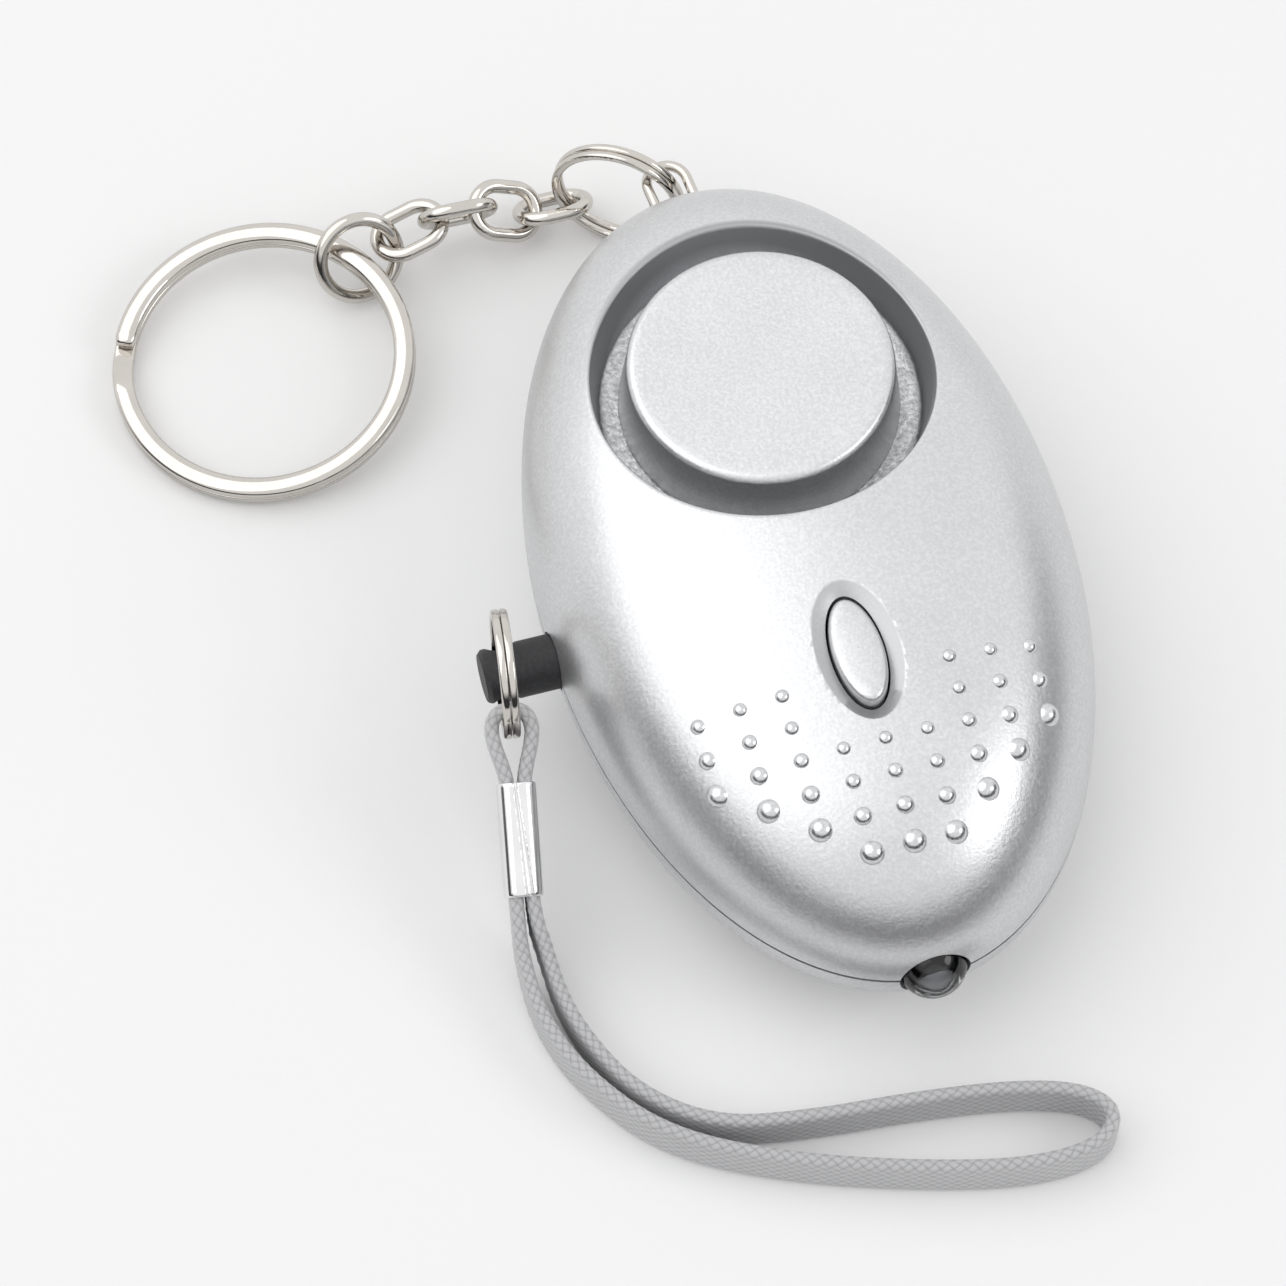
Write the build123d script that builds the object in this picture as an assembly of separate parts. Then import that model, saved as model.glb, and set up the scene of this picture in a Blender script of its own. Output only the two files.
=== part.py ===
from build123d import *
import os
from math import acos, atan2, cos, degrees, pi, radians, sin, sqrt, tan

# Personal safety alarm: an egg of two shells with a siren recess, a torch button and lamp,
# a pull pin on a wrist strap, and a key ring on a short chain. Millimetres, +Z up.
# The origin is the centre of the flat face that the alarm rests on. The lamp points to -Y,
# the key chain leaves at +Y and the pull pin is at -X.

# Shells
body_length = 66.0
body_width = 39.1
parting_z = 8.5
front_rise = 11.7
front_face_radius = 48.0
front_side_radius = 76.0
front_corner_radius = 10.2
rear_crown_cut = 0.6
rear_face_radius = 80.0
rear_side_radius = 78.0
rear_corner_radius = 7.6
wall = 1.5
groove_width = 0.3
groove_depth = 0.3
lip_wall = 0.8
lip_height = 1.4
fit_gap = 0.1
lip_gap = 0.25
overrun = 2.0

# Siren recess and its cap
recess_y_share = 0.3727
recess_rim_radius = 12.7
recess_floor_radius = 11.9
recess_floor_z = 13.4
recess_wall = 1.2
rim_round = 0.35
cap_radius = 9.8
cap_base_radius = 10.35
cap_top_z = 18.8
cap_offset = 0.3
cap_wall = 1.0
cap_edge_round = 0.5
sound_slot_width = 3.0
sound_slot_height = 0.6
sound_hole_radius = 1.0
sound_hole_ring = 6.0
sound_hole_count = 6

# Torch button
button_y_share = -0.3636
button_width = 3.7
button_length = 8.4
button_top_z = 19.75
button_edge_round = 0.55
button_gap = 0.35
button_flange = 1.2
button_flange_thickness = 0.9
button_stem_gap = 0.05
button_travel = 0.5
bevel_growth = 0.85
bevel_depth = 0.9

# Raised grip domes: columns across, rows towards the lamp
dome_column_share = 0.1565
dome_row_share = 0.0742
dome_first_y_share = -0.5712
dome_rise_share = 0.27
dome_root_angle = 8.0
dome_seam_turn = 50.0
normal_step = 0.01
dome_diameters = (1.0, 1.1, 1.3, 1.7)
dome_columns = {0: (0, 3), 1: (0, 3), 2: (-2, 2), 3: (-2, 1), 4: (-2, 0)}

# Lamp
lamp_diameter = 5.0
lamp_reach = 1.4
lamp_length = 6.1
lamp_flange_diameter = 5.8
lamp_flange_thickness = 1.0
lead_diameter = 0.5
lead_pitch = 2.54
lead_bend = 1.1
lead_stub = 0.6

# Circuit board and what is on it
board_bottom_z = 13.6
board_thickness = 0.8
board_cup_gap = 1.6
board_step_share = -0.4727
board_neck_share = -0.6303
board_far_share = -0.7818
board_width_share = 0.5729
board_neck_width_share = 0.3785
board_far_width_share = 0.2558
board_corner_round = 1.0
switch_size = 4.5
switch_height = 1.7
plunger_diameter = 2.0
plunger_seat = 1.1
chip_length = 5.0
chip_width = 4.0
chip_height = 1.5
chip_share = (0.3785, -0.3152)
coil_gap = 0.9
coil_height = 6.2
small_part_sizes = ((3.0, 1.5, 1.2), (2.0, 1.25, 0.8), (2.0, 1.25, 0.8), (3.2, 1.6, 1.0), (2.9, 1.6, 1.1))
small_part_shares = (
    (-0.3887, -0.3394),
    (-0.2762, -0.4303),
    (-0.2558, -0.5576),
    (0.1841, -0.6667),
    (-0.4194, -0.2697),
)

# Board screws
board_screw_shares = ((0.4808, -0.1758), (-0.4808, -0.1758), (0.2864, -0.5515))
board_screw_diameter = 1.4
board_screw_head_diameter = 2.4
board_screw_head_height = 0.9
board_screw_length = 3.2
board_boss_diameter = 3.0

# Shell screws
near_screw_share = (0.4859, -0.6545)
far_screw_gap = 0.3
far_screw_angle = 62.0
shell_screw_diameter = 1.7
shell_screw_head_diameter = 3.0
shell_screw_head_height = 1.0
shell_screw_sink = 0.25
shell_screw_length = 7.6
shell_boss_diameter = 3.4
pilot_gap = 0.05

# Siren plate
plate_diameter = 27.0
plate_thickness = 0.3
ceramic_diameter = 19.6
ceramic_thickness = 0.25
gasket_thickness = 1.0
gasket_width = 2.4
plate_rib_ring = 12.6
plate_rib_diameter = 1.6
plate_rib_angles = (90.0, 212.0, 328.0)
wire_diameter = 0.8
wire_x = 2.0
wire_pitch = 1.4
wire_bend = 1.1

# Three button cells, side by side along X
cell_diameter = 11.6
cell_thickness = 5.4
cell_count = 3
cell_socket_gap = 0.1
cell_clearance = 0.2
contact_thickness = 0.25
contact_width = 8.0
contact_height = 8.0
spring_reach = 1.15
spring_height = 4.0
tray_wall = 0.8
tray_height = 4.0

# Pull pin and its socket
pin_y_share = -0.0515
pin_diameter = 4.1
pin_grip_length = 6.7
pin_seat_depth = 1.45
pin_stem_diameter = 2.6
pin_stem_length = 6.9
pin_chamfer = 0.3
pin_hole_inset = 1.5
pin_hole_diameter = 2.3
pin_clearance = 0.15
socket_depth = 2.85
socket_length = 6.7
socket_half_width = 2.9
socket_below = 2.9
socket_above = 2.7
chamber_inset = 1.9
chamber_length = 3.4
chamber_half_width = 2.1
chamber_half_height = 2.0
strip_thickness = 0.25
strip_width = 2.4
strip_tail = 1.2
strip_gap = 0.05

# Strap ring, through the pin
strap_ring_radius = 4.4
strap_ring_wire = 0.58
strap_ring_lean = 62.0
strap_ring_turn = -8.0

# Strap
strap_width = 4.0
strap_thickness = 1.0
strap_gap = 0.15
strap_heading = -100.6
strap_slope = -25.5
eye_inner_radius = 0.92
eye_shift = 0.25
crimp_start = 3.4
crimp_length = 8.2
crimp_wall = 0.3
crimp_round = 0.45
strap_joint = 1.5
strap_lead = 1.3
bend_share = 0.45
# The loop lies on edge: out from the crimp, round its end and back, chosen by hand
strap_route = (
    (-27.25, -22.0, 3.2),
    (-27.1, -26.4, 2.15),
    (-25.3, -31.6, 2.1),
    (-20.9, -37.5, 2.1),
    (-13.2, -41.6, 2.1),
    (-4.2, -44.7, 2.1),
    (3.2, -46.5, 2.1),
    (8.3, -46.3, 2.1),
    (10.3, -44.3, 2.1),
    (8.5, -42.0, 2.1),
    (3.8, -40.5, 2.1),
    (-3.2, -39.5, 2.1),
    (-10.8, -38.9, 2.1),
    (-17.2, -37.7, 2.1),
    (-21.9, -34.0, 2.1),
    (-24.3, -29.2, 2.1),
    (-25.3, -25.3, 2.25),
    (-25.5, -21.8, 3.3),
)

# Bail link and its post in the end wall
bail_post_inset = 3.4
bail_post_diameter = 1.9
bail_wire = 0.8
bail_inner_width = 2.3
bail_reach = 5.9
bail_lean = 5.0
bail_slot_gap = 0.25
bail_slot_half = 2.9
bail_post_top_z = 10.3

# Small split ring on the bail
body_ring_radius = 4.9
body_ring_wire = 0.65
body_ring_offset = (-3.85, 7.8, -3.0)
body_ring_heading = 58.0
body_ring_tilt = -5.1
body_ring_link_angle = 315.0
body_ring_bail_angle = 134.0
body_ring_step_angle = 225.0
ring_pair_share = 0.77
ring_round_share = 0.4

# Chain of oval links, and the round link on the key ring
chain_wire = 1.1
chain_length = 6.35
chain_width = 4.8
chain_slack = 0.2
chain_headings = (179.0, 176.0, 180.0, 190.0)
chain_climbs = (-1.0, 25.0, 3.0, -10.0)
chain_rolls = (-37.0, 29.0, 111.0, -6.0)
round_link_radius = 3.1
round_link_heading = 281.5
round_link_tilt = 35.0

# Key ring
key_ring_radius = 10.75
key_ring_band = 1.6
key_ring_coil = 0.9
key_ring_round = 0.42
key_ring_heading = 214.5
key_ring_tilt = 6.0
key_ring_offset = 0.3
key_ring_drop = 0.2
key_ring_step_angle = -31.0
ring_step_span = 28.0
ring_step_stages = 6
turn_gap = 0.06

# Derived sizes and places
half_width = body_width / 2
half_length = body_length / 2
recess_y = recess_y_share * half_length
cap_y = recess_y + cap_offset
button_y = button_y_share * half_length
dome_column_pitch = dome_column_share * half_width
dome_row_pitch = dome_row_share * half_length
dome_first_y = dome_first_y_share * half_length
lamp_dome_y = lamp_diameter / 2 - lamp_reach - half_length
lamp_back_y = lamp_dome_y + lamp_length
lead_bend_y = lamp_back_y + lead_bend
pin_y = pin_y_share * half_length
pin_shoulder_x = pin_seat_depth - half_width
pin_outer_x = pin_shoulder_x - pin_grip_length
pin_tip_x = pin_shoulder_x + pin_stem_length
pin_hole_x = pin_outer_x + pin_hole_inset
socket_outer_x = socket_depth - half_width
socket_inner_x = socket_outer_x + socket_length
socket_bottom_z = parting_z - socket_below
socket_top_z = parting_z + socket_above
chamber_outer_x = socket_outer_x + chamber_inset
chamber_inner_x = chamber_outer_x + chamber_length
cell_y = pin_y - socket_half_width - cell_socket_gap - cell_diameter / 2
board_near_y = recess_y - recess_rim_radius - recess_wall - board_cup_gap
board_step_y = board_step_share * half_length
board_neck_y = board_neck_share * half_length
board_far_y = board_far_share * half_length
board_half_width = board_width_share * half_width
board_neck_half_width = board_neck_width_share * half_width
board_far_half_width = board_far_width_share * half_width
cell_far_y = cell_y - cell_diameter / 2
coil_diameter = cell_far_y - lead_bend_y - 2 * coil_gap
coil_y = (cell_far_y + lead_bend_y) / 2
bail_post_y = half_length - bail_post_inset
rear_rise = parting_z + rear_crown_cut
board_top_z = board_bottom_z + board_thickness
flange_top_z = board_top_z + switch_height + plunger_seat / 2 + button_flange_thickness
cup_bottom_z = recess_floor_z - recess_wall
plate_top_z = cup_bottom_z - gasket_thickness
plate_bottom_z = plate_top_z - plate_thickness
cell_z = wall + cell_clearance + cell_diameter / 2
stack_length = cell_count * cell_thickness
far_screw_reach = plate_diameter / 2 + far_screw_gap + shell_boss_diameter / 2
far_screw_x = far_screw_reach * cos(radians(far_screw_angle))
far_screw_y = recess_y + far_screw_reach * sin(radians(far_screw_angle))

os.makedirs("parts", exist_ok=True)


def on_body(share):
    """A place in plan from its shares of the body's half width and half length."""
    return share[0] * half_width, share[1] * half_length


board_screw_places = [on_body(share) for share in board_screw_shares]
near_screw_x, near_screw_y = on_body(near_screw_share)
shell_screw_places = [
    (near_screw_x, near_screw_y),
    (-near_screw_x, near_screw_y),
    (far_screw_x, far_screw_y),
    (-far_screw_x, far_screw_y),
]


def save(name, shape):
    """Writes one piece under its name."""
    export_step(shape, f"parts/{name}.step")
    return shape


def heading_vector(heading, climb=0.0):
    """A unit vector from a heading in plan and a climb, in degrees."""
    flat = cos(radians(climb))
    return Vector(cos(radians(heading)) * flat, sin(radians(heading)) * flat, sin(radians(climb)))


def arc_profile(half, rise, face_radius, side_radius, corner_radius):
    """Half of a dome's section in the XZ plane: face arc, corner arc, side arc, all tangent."""
    face = Vector(0, 0, rise - face_radius)
    side = Vector(half - side_radius, 0, 0)
    span = side - face
    from_face = face_radius - corner_radius
    from_side = side_radius - corner_radius
    along = (from_face**2 - from_side**2 + span.length**2) / (2 * span.length)
    across = sqrt(from_face**2 - along**2)
    unit = span.normalized()
    normal = Vector(unit.Z, 0, -unit.X)
    corners = [face + unit * along + normal * (across * way) for way in (1, -1)]
    corner = max(corners, key=lambda point: point.Z)
    return face, side, corner


def dome_face(half, rise, face_radius, side_radius, corner_radius):
    """The half section as a face, from the axis out to the side, above z = 0."""
    face, side, corner = arc_profile(half, rise, face_radius, side_radius, corner_radius)
    to_face = atan2(corner.Z - face.Z, corner.X - face.X)
    to_side = atan2(corner.Z - side.Z, corner.X - side.X)

    def spot(centre, radius, angle):
        return Vector(centre.X + radius * cos(angle), 0, centre.Z + radius * sin(angle))

    crown = Vector(0, 0, rise)
    first = spot(face, face_radius, to_face)
    second = spot(side, side_radius, to_side)
    edge = Vector(half, 0, 0)
    top = ThreePointArc(crown, spot(face, face_radius, (to_face + pi / 2) / 2), first)
    turn = ThreePointArc(first, spot(corner, corner_radius, (to_face + to_side) / 2), second)
    flank = ThreePointArc(second, spot(side, side_radius, to_side / 2), edge)
    return make_face([top, turn, flank, Line(edge, Vector(0, 0, 0)), Line(Vector(0, 0, 0), crown)])


def dome(inset, rise, face_radius, side_radius, corner_radius):
    """A solid half egg on z = 0, drawn in by an even inset all round."""
    half = half_width - inset
    section = dome_face(
        half, rise - inset, face_radius - inset, side_radius - inset, corner_radius - inset
    )
    turned = revolve(section, Axis.Z)
    return scale(turned, by=(1, (half_length - inset) / half, 1))


def front_dome(inset):
    """The front half egg, above the parting plane."""
    solid = dome(inset, front_rise, front_face_radius, front_side_radius, front_corner_radius)
    return Pos(0, 0, parting_z) * solid


def rear_dome(inset):
    """The rear half egg, below the parting plane, before its crown is cut flat."""
    solid = dome(inset, rear_rise, rear_face_radius, rear_side_radius, rear_corner_radius)
    return Pos(0, 0, parting_z) * mirror(solid, about=Plane.XY)


def dome_height(x, y, rise, face_radius, side_radius, corner_radius, inset=0.0):
    """The height of a dome's surface over the parting plane at a place."""
    half = half_width - inset
    args = (half, rise - inset, face_radius - inset, side_radius - inset, corner_radius - inset)
    face, side, corner = arc_profile(*args)
    reach = sqrt(x**2 + (y * half / (half_length - inset)) ** 2)
    radius = face_radius - inset
    first_x = face.X + (corner.X - face.X) * radius / (corner - face).length
    if reach <= first_x:
        return face.Z + sqrt(radius**2 - reach**2)
    radius = corner_radius - inset
    return corner.Z + sqrt(max(radius**2 - (reach - corner.X) ** 2, 0))


def front_z(x, y, inset=0.0):
    """The height of the front shell's surface at a place."""
    sizes = (front_rise, front_face_radius, front_side_radius, front_corner_radius)
    return parting_z + dome_height(x, y, *sizes, inset)


def front_normal(x, y):
    """The direction square to the front shell's surface at a place."""
    along_x = front_z(x + normal_step, y) - front_z(x - normal_step, y)
    along_y = front_z(x, y + normal_step) - front_z(x, y - normal_step)
    return Vector(-along_x, -along_y, 2 * normal_step).normalized()


def rear_z(x, y, inset=0.0):
    """The height of the rear shell's surface at a place."""
    sizes = (rear_rise, rear_face_radius, rear_side_radius, rear_corner_radius)
    return parting_z - dome_height(x, y, *sizes, inset)


def cylinder(place, axis, diameter, length):
    """A cylinder that starts at a place and runs along an axis."""
    return Plane(origin=place, z_dir=axis) * extrude(Circle(diameter / 2), length)


def block(low, high):
    """A box between two corners."""
    size = Vector(*high) - Vector(*low)
    centre = (Vector(*high) + Vector(*low)) * 0.5
    return Pos(*centre) * Box(size.X, size.Y, size.Z)


def oval(x_size, y_size, z, y=0.0):
    """An ellipse in plan at a height."""
    return Pos(0, y, z) * Ellipse(x_size / 2, y_size / 2)


def lip_ring(outer_inset, width, low, high):
    """An elliptical ring that follows the shells' side walls."""
    outer = Ellipse(half_width - outer_inset, half_length - outer_inset)
    inner = Ellipse(half_width - outer_inset - width, half_length - outer_inset - width)
    return Pos(0, 0, low) * extrude(outer - inner, high - low)


def end_openings():
    """What passes through both shells' walls: lamp, pin and bail slot."""
    lamp = cylinder(
        (0, -half_length - overrun, parting_z), (0, 1, 0), lamp_diameter + 2 * fit_gap, overrun * 4
    )
    pin = cylinder(
        (-half_width - overrun, pin_y, parting_z),
        (1, 0, 0),
        pin_diameter + 2 * pin_clearance,
        overrun * 2 + wall,
    )
    slot_height = bail_wire / 2 + bail_slot_gap
    slot = block(
        (-bail_slot_half, half_length - wall - lip_wall * 2, parting_z - slot_height),
        (bail_slot_half, half_length + overrun, parting_z + slot_height),
    )
    return [lamp, pin, slot]


def half_groove(inset_dome, dome_solid, low, high):
    """The band that is cut from a shell's edge, so that the parting line shows."""
    reach = body_length
    slab = block((-reach, -reach, low), (reach, reach, high))
    return (dome_solid & slab) - inset_dome


def grip_domes():
    """The field of raised domes, larger towards the lamp."""
    domes = []
    for column, (first, last) in dome_columns.items():
        for row in range(first, last + 1):
            size = dome_diameters[max(len(dome_diameters) - 1 - (last - row), 0)]
            rise = size * dome_rise_share
            radius = ((size / 2) ** 2 + rise**2) / (2 * rise)
            y = dome_first_y - dome_row_pitch * row
            for x in {column * dome_column_pitch, -column * dome_column_pitch}:
                out = front_normal(x, y)
                root = Plane(origin=Vector(x, y, front_z(x, y)) + out * (rise - radius), z_dir=out)
                cap = Rot(0, 0, dome_seam_turn) * Sphere(radius, arc_size1=-dome_root_angle)
                domes.append(root.location * cap)
    return domes


def tube(centre_x, centre_y, outer, inner, low, high):
    """A round boss with a bore."""
    ring = Circle(outer / 2) - Circle(inner / 2)
    return Pos(centre_x, centre_y, low) * extrude(ring, high - low)


def front_shell():
    """Domed shell with the siren cup, the button opening, the grip domes and its bosses."""
    outer = front_dome(0)
    inner = front_dome(wall)
    slope = (recess_rim_radius - recess_floor_radius) / (cap_top_z - recess_floor_z)
    cut_height = parting_z + front_rise + overrun - recess_floor_z
    recess = Pos(0, recess_y, recess_floor_z + cut_height / 2) * Cone(
        recess_floor_radius, recess_floor_radius + slope * cut_height, cut_height
    )
    cup_height = cut_height + recess_wall
    cup = Pos(0, recess_y, cup_bottom_z + cup_height / 2) * Cone(
        recess_floor_radius + recess_wall,
        recess_floor_radius + recess_wall + slope * cup_height,
        cup_height,
    )
    shell = outer - inner
    shell += cup & outer
    shell -= recess
    rims = shell.edges().filter_by(
        lambda edge: edge.bounding_box().min.Z > recess_floor_z + recess_wall
        and edge.bounding_box().size.X > recess_rim_radius
    )
    shell = fillet(rims, rim_round)

    bosses = []
    for x, y in shell_screw_places:
        bore = shell_screw_diameter + 2 * pilot_gap
        bosses.append(tube(x, y, shell_boss_diameter, bore, parting_z + fit_gap, front_z(x, y) - wall / 2))
    for x, y in board_screw_places:
        bore = board_screw_diameter + 2 * pilot_gap
        bosses.append(tube(x, y, board_boss_diameter, bore, board_top_z, front_z(x, y) - wall / 2))
    boss_limit = front_dome(wall / 2)
    shell = shell.fuse(*[boss & boss_limit for boss in bosses], *grip_domes())

    opening_width = button_width + 2 * button_gap
    opening_length = button_length + 2 * button_gap
    reach = parting_z + front_rise + overrun
    opening_start = oval(opening_width, opening_length, flange_top_z, button_y)
    opening = extrude(opening_start, reach - flange_top_z)
    seat_z = front_z(0, button_y) - bevel_depth
    top_z = seat_z + 2 * bevel_depth
    bevel = loft(
        [
            oval(opening_width, opening_length, seat_z, button_y),
            oval(opening_width + 4 * bevel_growth, opening_length + 4 * bevel_growth, top_z, button_y),
        ]
    )
    holes = [
        Pos(
            sound_hole_ring * cos(2 * pi * i / sound_hole_count),
            cap_y + sound_hole_ring * sin(2 * pi * i / sound_hole_count),
            cup_bottom_z - overrun / 2,
        )
        * extrude(Circle(sound_hole_radius), recess_wall + overrun)
        for i in range(sound_hole_count)
    ]
    groove = half_groove(front_dome(groove_depth), outer, parting_z, parting_z + groove_width)
    post_socket = Pos(0, bail_post_y, parting_z) * extrude(
        Circle(bail_post_diameter / 2 + wall / 2) - Circle(bail_post_diameter / 2 + fit_gap),
        front_z(0, bail_post_y) - wall / 2 - parting_z,
    )
    post_socket -= block(
        (-wall * 2, bail_post_y - wall * 2, parting_z - overrun),
        (wall * 2, bail_post_y + wall * 2, parting_z + bail_wire / 2 + bail_slot_gap),
    )
    shell = shell + post_socket
    return shell.cut(opening, bevel, groove, *holes, *end_openings())


def rear_shell():
    """Shallow shell with the flat rest face, the lip, the cell tray and the screw bosses."""
    reach = body_length
    outer = rear_dome(0) & block((-reach, -reach, 0), (reach, reach, parting_z))
    floor = block((-reach, -reach, wall), (reach, reach, parting_z + overrun))
    inner = rear_dome(wall) & floor
    lip_inset = wall + fit_gap
    shell = outer - inner
    shell += lip_ring(wall / 2, wall / 2 + fit_gap + lip_wall, parting_z - lip_height, parting_z)
    shell += lip_ring(lip_inset, lip_wall, parting_z - lip_height, parting_z + lip_height)

    tray_half_x = stack_length / 2 + spring_reach + contact_thickness * 2 + cell_clearance
    tray_half_y = cell_diameter / 2 + cell_clearance
    tray_outer = block(
        (-tray_half_x - tray_wall, cell_y - tray_half_y - tray_wall, wall / 2),
        (tray_half_x + tray_wall, cell_y + tray_half_y + tray_wall, wall + tray_height),
    )
    tray_inner = block(
        (-tray_half_x, cell_y - tray_half_y, 0),
        (tray_half_x, cell_y + tray_half_y, wall + tray_height + overrun),
    )
    pedestal = block(
        (socket_outer_x, pin_y - socket_half_width, wall / 2),
        (socket_inner_x, pin_y + socket_half_width, socket_bottom_z),
    )
    inside = [tray_outer - tray_inner, pedestal]
    for x, y in shell_screw_places:
        inside.append(Pos(x, y, 0) * extrude(Circle(shell_boss_diameter / 2), parting_z))
    for angle in plate_rib_angles:
        x = plate_rib_ring * cos(radians(angle))
        y = recess_y + plate_rib_ring * sin(radians(angle))
        rib = Circle(plate_rib_diameter / 2)
        inside.append(Pos(x, y, wall / 2) * extrude(rib, plate_bottom_z - wall / 2))
    post = Circle(bail_post_diameter / 2)
    inside.append(Pos(0, bail_post_y, wall / 2) * extrude(post, bail_post_top_z - wall / 2))
    whole = rear_dome(0) + block(
        (-half_width, -half_length, parting_z), (half_width, half_length, board_bottom_z)
    )
    shell = shell.fuse(*[piece & whole for piece in inside])

    cuts = []
    for x, y in shell_screw_places:
        seat = rear_z(x, y) + shell_screw_sink + shell_screw_head_height
        head = Circle(shell_screw_head_diameter / 2 + fit_gap)
        shank = Circle(shell_screw_diameter / 2 + fit_gap)
        notch = Circle(shell_boss_diameter / 2 + lip_gap)
        cuts.append(Pos(x, y, -overrun) * extrude(head, seat + overrun))
        cuts.append(Pos(x, y, 0) * extrude(shank, parting_z + overrun))
        cuts.append(Pos(x, y, parting_z) * extrude(notch, lip_height + overrun))
    cuts.append(
        block(
            (-bail_slot_half, half_length - wall - lip_wall * 2, parting_z),
            (bail_slot_half, half_length + overrun, parting_z + lip_height + overrun),
        )
    )
    return shell.cut(*cuts, *end_openings())


def sounder_cap():
    """Disc cap that stands in the recess, with hidden slots under its skirt."""
    height = cap_top_z - recess_floor_z
    outer = Pos(0, cap_y, recess_floor_z + height / 2) * Cone(cap_base_radius, cap_radius, height)
    outer = fillet(outer.edges().sort_by(Axis.Z)[-1], cap_edge_round)
    inner_height = height - cap_wall
    inner = Pos(0, cap_y, recess_floor_z + inner_height / 2) * Cone(
        cap_base_radius - cap_wall, cap_radius - cap_wall, inner_height
    )
    slot = block(
        (-sound_slot_width / 2, cap_y - cap_base_radius - overrun, recess_floor_z),
        (sound_slot_width / 2, cap_y + cap_base_radius + overrun, recess_floor_z + sound_slot_height),
    )
    return outer - inner - slot


def torch_button():
    """Oval push button with the flange that keeps it under the shell."""
    bottom = flange_top_z - button_flange_thickness
    stem = extrude(oval(button_width, button_length, bottom, button_y), button_top_z - bottom)
    stem = fillet(stem.edges().group_by(Axis.Z)[-1], button_edge_round)
    flange = extrude(
        oval(button_width + 2 * button_flange, button_length + 2 * button_flange, bottom, button_y),
        button_flange_thickness - fit_gap,
    )
    return stem + flange


def lamp():
    """Clear 5 mm lamp that points out of the narrow end."""
    length = lamp_back_y - lamp_dome_y
    barrel = cylinder((0, lamp_back_y, parting_z), (0, -1, 0), lamp_diameter, length)
    flange = cylinder((0, lamp_back_y, parting_z), (0, -1, 0), lamp_flange_diameter, lamp_flange_thickness)
    return barrel + flange + Pos(0, lamp_dome_y, parting_z) * Sphere(lamp_diameter / 2)


def lamp_leads():
    """Two bent leads from the lamp up through the circuit board."""
    leads = []
    for side in (-1, 1):
        x = side * lead_pitch / 2
        back = lead_bend_y - lamp_back_y
        rise = board_top_z + lead_stub - parting_z
        leads.append(
            cylinder((x, lamp_back_y, parting_z), (0, 1, 0), lead_diameter, back)
            + cylinder((x, lead_bend_y, parting_z), (0, 0, 1), lead_diameter, rise)
            + Pos(x, lead_bend_y, parting_z) * Sphere(lead_diameter / 2)
        )
    return Compound(leads)


def circuit_board():
    """Stepped circuit board, held under the front shell's bosses."""
    outline = Polyline(
        (-board_half_width, board_near_y),
        (board_half_width, board_near_y),
        (board_half_width, board_step_y),
        (board_neck_half_width, board_step_y),
        (board_neck_half_width, board_neck_y),
        (board_far_half_width, board_far_y),
        (-board_far_half_width, board_far_y),
        (-board_neck_half_width, board_neck_y),
        (-board_neck_half_width, board_step_y),
        (-board_half_width, board_step_y),
        close=True,
    )
    sketch = fillet(make_face(outline).vertices(), board_corner_round)
    board = Pos(0, 0, board_bottom_z) * extrude(sketch, board_thickness)
    holes = []
    for x, y in board_screw_places:
        bore = board_screw_diameter + 2 * fit_gap
        holes.append(cylinder((x, y, 0), (0, 0, 1), bore, board_top_z * 2))
    for side in (-1, 1):
        place = (side * lead_pitch / 2, lead_bend_y, 0)
        holes.append(cylinder(place, (0, 0, 1), lead_diameter + 2 * fit_gap, board_top_z * 2))
    return board.cut(*holes)


def on_board(x, y, length, width, height):
    """A small body that stands on the board's top."""
    return Pos(x, y, board_top_z + height / 2) * Box(length, width, height)


def switch_body():
    """Low push switch under the torch button, bored for its plunger."""
    body = on_board(0, button_y, switch_size, switch_size, switch_height)
    bore_low = board_top_z + switch_height - plunger_seat
    bore = Pos(0, button_y, bore_low) * extrude(Circle(plunger_diameter / 2 + fit_gap), overrun)
    return body - bore


def switch_plunger():
    """Plunger between the switch and the button's flange."""
    bottom = board_top_z + switch_height - plunger_seat + button_travel + fit_gap / 2
    top = flange_top_z - button_flange_thickness - button_stem_gap
    return Pos(0, button_y, bottom) * extrude(Circle(plunger_diameter / 2), top - bottom)


def board_screws():
    """Screws that hold the board up against its bosses."""
    screws = []
    for x, y in board_screw_places:
        seat = (x, y, board_bottom_z)
        head = cylinder(seat, (0, 0, -1), board_screw_head_diameter, board_screw_head_height)
        shank = cylinder(seat, (0, 0, 1), board_screw_diameter, board_screw_length)
        screws.append(head + shank)
    return Compound(screws)


def shell_screws():
    """Screws from the rear that hold the shells together."""
    screws = []
    for x, y in shell_screw_places:
        seat = (x, y, rear_z(x, y) + shell_screw_sink + shell_screw_head_height)
        head = cylinder(seat, (0, 0, -1), shell_screw_head_diameter, shell_screw_head_height)
        shank = cylinder(seat, (0, 0, 1), shell_screw_diameter, shell_screw_length)
        screws.append(head + shank)
    return Compound(screws)


def disc(diameter, bottom, thickness, bore=0.0):
    """A flat disc or ring of the siren, on the recess axis."""
    ring = Circle(diameter / 2)
    if bore:
        ring -= Circle(bore / 2)
    return Pos(0, recess_y, bottom) * extrude(ring, thickness)


def siren_wires():
    """Two wires from the siren plate to the circuit board."""
    wires = []
    start_z = plate_bottom_z - ceramic_thickness - wire_diameter / 2
    for side in (-1, 1):
        x = wire_x + side * wire_pitch / 2
        path = FilletPolyline(
            (x, recess_y - plate_diameter / 3, start_z),
            (x, board_near_y - wire_bend, start_z),
            (x, board_near_y - wire_bend, board_bottom_z),
            radius=wire_bend,
        )
        start = Plane(origin=path @ 0, z_dir=path % 0)
        wires.append(sweep(start * Circle(wire_diameter / 2), path=path))
    return Compound(wires)


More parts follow.
